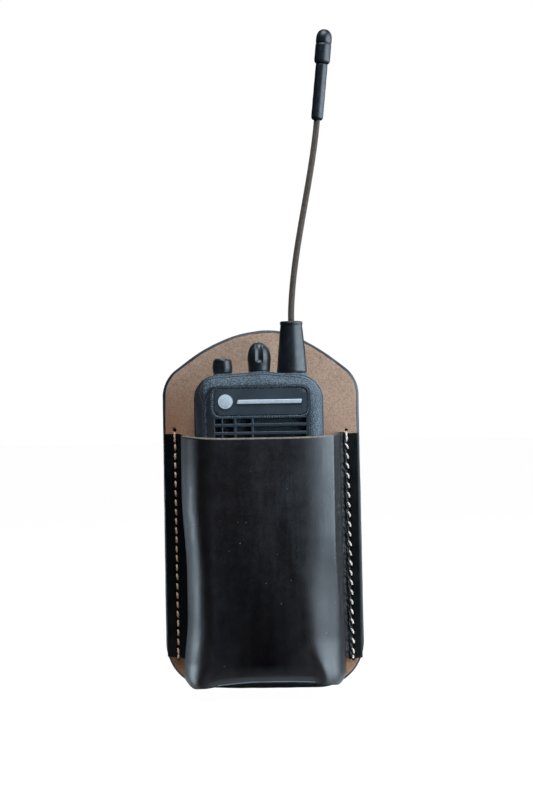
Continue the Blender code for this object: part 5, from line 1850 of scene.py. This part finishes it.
def build_boot():
    """Tapered boot at the antenna's foot, with a rounded lip on top."""
    h, low_r, top_r = BOOT.height, BOOT.radius, 5.2
    profile = [
        (0.02, h - 1.2), (1.85, h - 1.2), (1.9, h), (top_r - 1.1, h), (top_r - 0.45, h - 0.08),
        (top_r - 0.05, h - 0.35), (top_r + 0.08, h - 0.8), (top_r + 0.06, h - 1.35),
        (top_r - 0.1, h - 1.75), (top_r - 0.13, h - 2.1)]
    for k in range(1, 22):
        t = k / 21
        r = lerp(top_r - 0.13, low_r - 0.12, t) + 0.10 * math.sin(math.pi * t)
        profile.append((r, lerp(h - 2.1, 1.9, t)))
    profile += [
        (low_r - 0.02, 1.3), (low_r, 0.8), (low_r - 0.02, 0.0), (low_r - 0.2, -0.27),
        (low_r - 0.45, -0.35), (2.95, -0.35), (2.95, 8.8), (0.02, 8.8)]
    obj = revolve("antenna_base_boot", profile, LOOK["antenna_rubber"], BOOT[:3],
                  steps=96, sharp=50)
    place(obj, "antenna_rubber", "antenna", "antenna_base")


def build_whip():
    """A core with seven strands wound round it."""
    core = np.array([
        (whip_x(z) + max(0.0, z - WHIP_END_Z) * math.tan(TIP_TILT), BOOT.y, z)
        for z in np.linspace(170.5, 270.6, 220)])
    parts = Parts()
    parts.add_tube(core, 1.04, sides=20)
    along = tangents(core)
    across = unit(np.cross(along, (0, 1, 0)))
    up = np.cross(across, along)
    steps = np.linalg.norm(np.diff(core, axis=0), axis=1)
    length = np.concatenate([[0], np.cumsum(steps)])
    strands, lay = 7, 5.4
    for k in range(strands):
        turn = math.tau * k / strands + length / lay * math.tau
        path = core + 1.09 * (np.cos(turn)[:, None] * across + np.sin(turn)[:, None] * up)
        parts.add_tube(path, 0.41, sides=8)
    obj = parts.build("whip_cable", LOOK["cable_braid"])
    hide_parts("antenna_whip")
    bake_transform(obj)


def build_tip():
    """Sleeve and cap at the whip's end, tilted with it."""
    sleeve_foot = Vector((whip_x(WHIP_END_Z), BOOT.y, WHIP_END_Z)) - TIP_AXIS * 1.8
    profile = [(0.02, 26.28), (1.6, 26.28), (2.45, 26.28), (2.68, 26.1), (2.78, 25.7),
               (2.8, 24.8)]
    profile += [(2.8 + 0.03 * math.sin(k * 1.7), lerp(24.0, 3.2, k / 12)) for k in range(13)]
    profile += [
        (2.8, 2.4), (2.79, 1.5), (2.7, 0.9), (2.5, 0.4), (2.15, 0.08), (2.0, 0.0), (1.75, 0.0),
        (1.75, 6.8), (0.02, 6.8)]
    obj = revolve("antenna_sleeve_moulding", profile, LOOK["antenna_rubber"], sleeve_foot,
                  steps=72, sharp=50, tilt=TIP_TILT)
    place(obj, "antenna_rubber", "whip", "antenna_tip_sleeve")

    cap_foot = sleeve_foot + TIP_AXIS * 26.3
    length, radius, dome = 16.1, 3.7, 4.4
    profile = []
    for k in range(15):
        a = math.pi / 2 * k / 14
        r = max(0.02, radius * math.sin(a) ** 0.8)
        profile.append((r, length - dome + dome * math.cos(a)))
    # (inset, z) down the side, past a shallow groove, and under the foot
    side = [
        (0.0, 10.2), (0.02, 9.7), (0.22, 9.45), (0.22, 9.2), (0.02, 8.95), (0.0, 8.4),
        (0.0, 5.0), (0.0, 1.7), (0.12, 0.8), (0.55, 0.15), (1.0, 0.0)]
    profile += [(radius - inset, z) for inset, z in side] + [(0.02, 0.0)]
    cap = revolve("antenna_cap_moulding", profile, LOOK["antenna_rubber"], cap_foot,
                  steps=84, sharp=50, tilt=TIP_TILT)
    x, z = cap_foot.x, cap_foot.z
    cut(cap, [block((x + 2.6, BOOT.y - 0.45, z + 8.0), (x + 8.0, BOOT.y + 0.45, z + 9.0))])
    harden(cap, 50)
    place(cap, "antenna_rubber", "whip", "antenna_tip_cap")


# ==================================================================================
# Radio: side buttons and latch spring
# ==================================================================================
def build_button(node, body, ribs):
    """A rounded face with raised ribs, and the flange behind the housing's wall."""
    low, high = box(node)
    margin = 0.9
    y0, y1, z0, z1 = low[1] + margin, high[1] - margin, low[2] + margin, high[2] - margin
    half_y, half_z = (y1 - y0) / 2, (z1 - z0) / 2
    mid_y, mid_z = (y0 + y1) / 2, (z0 + z1) / 2
    rows, columns = 60, 24

    def face_x(s, t):
        edge = max(abs(s) ** 7, abs(t) ** 5)
        x = low[0] + 0.25 + 1.1 * edge ** 1.5 + 0.25 * (s * s)
        if ribs and abs(t) < 0.62 and abs(s) < 0.8:
            x -= 0.22 * max(0.0, math.cos(s * math.pi * ribs)) ** 2
        return x

    verts, faces = [], []
    for i in range(rows + 1):
        for j in range(columns + 1):
            s, t = -1 + 2 * i / rows, -1 + 2 * j / columns
            along = math.sin(s * math.pi / 2) if ribs == 0 else s
            tuck = 1 - 0.06 * (abs(s * t) ** 4)
            verts.append((
                face_x(s, t), mid_y + half_y * t * tuck, mid_z + half_z * along * tuck))
    width = columns + 1
    for i in range(rows):
        for j in range(columns):
            a = i * width + j
            faces.append((a, a + 1, a + width + 1, a + width))
    # skirt from the face's border down to the flange and across its back
    border = list(range(width))
    border += [i * width + columns for i in range(1, rows + 1)]
    border += [rows * width + j for j in range(columns - 1, -1, -1)]
    border += [i * width for i in range(rows - 1, 0, -1)]

    def outward(value, mid, half):
        """Direction to grow in, or 0 away from this pair of edges."""
        return (1 if value > mid else -1) * (abs(abs(value - mid) - half) < 0.9)

    previous = border
    back = high[0]
    for x, grow in ((back - 0.75, 0.0), (back - 0.7, 0.9), (back, 0.9), (back, -0.4)):
        row = []
        for index in border:
            _, y, z = verts[index]
            row.append(len(verts))
            verts.append((
                x, y + outward(y, mid_y, half_y) * grow, z + outward(z, mid_z, half_z) * grow))
        for k in range(len(border)):
            m = (k + 1) % len(border)
            faces.append((previous[k], previous[m], row[m], row[k]))
        previous = row
    faces.append(tuple(previous))
    obj = face_outward(make(node + "_pad", verts, faces, LOOK["antenna_rubber"], sharp=50))
    place(obj, "knob_rubber", body, node)


def build_spring():
    """The latch's return spring."""
    low, high = box("latch_spring")
    x, _, z = middle(low, high)
    radius = (high[0] - low[0]) / 2 - 0.2
    turns, per_turn = 4.6, 30
    path = []
    for k in range(int(turns * per_turn) + 1):
        t = k / (turns * per_turn)
        a = math.tau * turns * t
        # the first and last 0.7 turns lie flat
        rise = min(1.0, max(0.0, (t * turns - 0.7) / (turns - 1.4)))
        y = lerp(low[1] + 0.2, high[1] - 0.2, rise)
        path.append((x + radius * math.cos(a), y, z + radius * math.sin(a)))
    parts = Parts()
    parts.add_tube(path, 0.17, sides=12)
    obj = parts.build("latch_return_spring", LOOK["steel"])
    place(obj, "steel", "radio", "latch_spring")
    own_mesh(obj)


# edge rounding of the CAD pieces that stay: width to nodes
CAD_BEVELS = {
    0.35: ("battery_case_front", "battery_case_rear"),
    0.25: ("rear_chassis",),
    0.2: ("accessory_cover", "rf_shield", "volume_switch_body", "channel_switch_body"),
    0.15: ("battery_latch", "accessory_jack_block", "speaker_bracket", "radio_contact_block",
           "volume_nut", "channel_nut", "ptt_switch", "main_seal"),
    0.12: ("battery_contact_plate",),
    0.1: ("control_board", "main_board", "ptt_seal", "grille_felt"),
}


def soften_cad():
    for width, nodes in CAD_BEVELS.items():
        for node in nodes:
            modifier = frame["nodes"][node].modifiers.new("soft", "BEVEL")
            modifier.width = width * MM
            modifier.segments = 2
            modifier.limit_method = "ANGLE"
            modifier.angle_limit = math.radians(50)
            modifier.harden_normals = False
    for obj in frame["nodes"].values():
        harden(obj, 40)


# ==================================================================================
# Stage, light and camera, in metres
# ==================================================================================
def build_world():
    """Dim bluish surroundings that look white to the camera."""
    world = bpy.data.worlds.new("studio")
    bpy.context.scene.world = world
    world.use_nodes = True
    nodes, links = world.node_tree.nodes, world.node_tree.links
    dim = nodes["Background"]
    dim.inputs["Color"].default_value = (0.80, 0.86, 0.95, 1)
    dim.inputs["Strength"].default_value = 0.03
    white = nodes.new("ShaderNodeBackground")
    white.inputs["Color"].default_value = (1, 1, 1, 1)
    white.inputs["Strength"].default_value = 1.0
    rays = nodes.new("ShaderNodeLightPath")
    mix = nodes.new("ShaderNodeMixShader")
    links.new(rays.outputs["Is Camera Ray"], mix.inputs["Fac"])
    links.new(dim.outputs["Background"], mix.inputs[1])
    links.new(white.outputs["Background"], mix.inputs[2])
    links.new(mix.outputs["Shader"], nodes["World Output"].inputs["Surface"])


def floor_material():
    """Near white to the camera; to other rays a pale patch round the object, dark beyond."""
    n = Shader("studio_floor")
    tone = n.noise(scale=6, detail=3, rough=0.5)
    reach = n.node("ShaderNodeVectorMath", operation="LENGTH")
    n.link(n.mapped(scale=(0.62, 1.0, 1.0), location=(0.0, 0.008, 0.0)), reach.inputs[0])
    pale = n.two_tone(tone, (0.78, 0.78, 0.78), (0.82, 0.82, 0.82))
    far = n.remap(reach.outputs["Value"], at=(0.045, 0.090))
    n.finish(n.mix(far, pale, (0.02, 0.02, 0.024)), 0.6, Specular_IOR_Level=0.2)
    glow = n.node("ShaderNodeEmission")
    glow.inputs["Color"].default_value = (1, 1, 1, 1)
    glow.inputs["Strength"].default_value = 0.985
    dim = n.node("ShaderNodeBsdfDiffuse")
    dim.inputs["Color"].default_value = (0.05, 0.05, 0.05, 1)
    seen = n.node("ShaderNodeAddShader")
    n.link(glow.outputs["Emission"], seen.inputs[0])
    n.link(dim.outputs["BSDF"], seen.inputs[1])
    rays = n.node("ShaderNodeLightPath")
    pick = n.node("ShaderNodeMixShader")
    n.link(rays.outputs["Is Camera Ray"], pick.inputs["Fac"])
    n.link(n.bsdf.outputs["BSDF"], pick.inputs[1])
    n.link(seen.outputs["Shader"], pick.inputs[2])
    n.link(pick.outputs["Shader"], n.tree.nodes["Material Output"].inputs["Surface"])
    return n.material


def card_material():
    n = Shader("black_card")
    tone = n.noise(scale=3, detail=2)
    color = n.two_tone(tone, (0.004, 0.004, 0.004), (0.006, 0.006, 0.006))
    return n.finish(color, 1.0, Specular_IOR_Level=0.0)


def stage_piece(name, bm, material):
    mesh = bpy.data.meshes.new(name)
    bm.to_mesh(mesh)
    bm.free()
    mesh.materials.append(material)
    obj = bpy.data.objects.new(name, mesh)
    bpy.context.scene.collection.objects.link(obj)
    return obj


def build_floor():
    bm = bmesh.new()
    bmesh.ops.create_grid(bm, x_segments=8, y_segments=8, size=6.0)
    floor = stage_piece("studio_floor", bm, floor_material())
    floor.location = (0, 0, -0.0008)


def build_card():
    """A black card keeps the left light off the radio and the antenna."""
    x, y0, y1, z0, z1 = -0.34, -0.40, 0.50, 0.086, 0.62
    bm = bmesh.new()
    bm.faces.new([bm.verts.new((x, y, z)) for y, z in ((y0, z0), (y1, z0), (y1, z1), (y0, z1))])
    card = stage_piece("black_card", bm, card_material())
    card.visible_camera = False


def soft_box(name, azimuth, elevation, distance, size, power, color=(0.70, 0.865, 1.0),
             look=(0.0, -0.02, 0.10), diffuse=True):
    """An area light in watts; azimuth 0 is at the camera's side, positive to the right."""
    light = bpy.data.lights.new(name, "AREA")
    light.shape = "RECTANGLE"
    light.size, light.size_y = size
    light.energy = power
    light.color = color
    obj = bpy.data.objects.new(name, light)
    turn, rise = math.radians(azimuth), math.radians(elevation)
    target = Vector(look)
    where = target + distance * Vector((
        math.sin(turn) * math.cos(rise), -math.cos(turn) * math.cos(rise), math.sin(rise)))
    obj.location = where
    obj.rotation_euler = (target - where).to_track_quat("-Z", "Y").to_euler()
    obj.visible_camera = False
    obj.visible_diffuse = diffuse
    bpy.context.scene.collection.objects.link(obj)


def build_lights():
    soft_box("key_right", azimuth=71, elevation=9, distance=0.85, size=(0.64, 0.95), power=14.0)
    soft_box("strip_left", azimuth=-108, elevation=5, distance=0.70, size=(0.30, 0.36),
             power=3.7, look=(0.0, -0.02, 0.05))
    soft_box("edge_right", azimuth=106, elevation=4, distance=0.80, size=(0.34, 0.50),
             power=3.8, look=(0.0, -0.02, 0.06))
    soft_box("fill_right", azimuth=43, elevation=10, distance=0.90, size=(0.30, 0.80),
             power=5.2, diffuse=False)
    soft_box("rim_left", azimuth=-138, elevation=0, distance=0.42, size=(0.26, 0.15),
             power=0.062, look=(0.0, -0.02, 0.045), diffuse=False)
    soft_box("top", azimuth=-10, elevation=68, distance=0.85, size=(0.6, 0.5), power=8.0,
             color=(0.80, 0.90, 1.0))
    soft_box("back", azimuth=160, elevation=35, distance=1.2, size=(1.0, 0.8), power=5.0,
             color=(0.96, 0.98, 1.0))


def build_camera():
    """Level and looking along +Y, rolled by one degree."""
    camera = bpy.data.cameras.new("camera")
    camera.sensor_fit = "VERTICAL"
    camera.sensor_height = 24.0
    camera.lens = 63.15
    camera.clip_start, camera.clip_end = 0.05, 30.0
    obj = bpy.data.objects.new("camera", camera)
    obj.location = (0.0027, -1.0, 0.1368)
    level = Matrix.Rotation(math.pi / 2, 3, "X")
    obj.rotation_euler = (level @ Matrix.Rotation(math.radians(-1.0), 3, "Z")).to_euler()
    scene = bpy.context.scene
    scene.collection.objects.link(obj)
    scene.camera = obj
    scene.view_settings.view_transform = "Standard"
    scene.view_settings.look = "None"


dress_cad()
build_panel()
build_pocket()
build_seam(LEFT_SEAM, "seam_stitches_left", "seam_thread_left", "thread_tan")
# the right seam's thread is painted lit: paler and glowing
build_seam(RIGHT_SEAM, "seam_stitches_right", "seam_thread_right", "thread_cream")
build_loop()
build_housing()
build_lens()
build_collars()
build_bosses()
build_beading()
build_plate()
build_badge()
build_bar()
build_volume_knob()
build_channel_knob()
build_boot()
build_whip()
build_tip()
for button, moving_body, rib_count in zip(
        BUTTON_NODES, ("ptt", "upper_side_button", "lower_side_button"), (7, 2, 0)):
    build_button(button, moving_body, rib_count)
build_spring()
soften_cad()
build_world()
build_floor()
build_lights()
build_card()
build_camera()

bpy.context.view_layer.update()
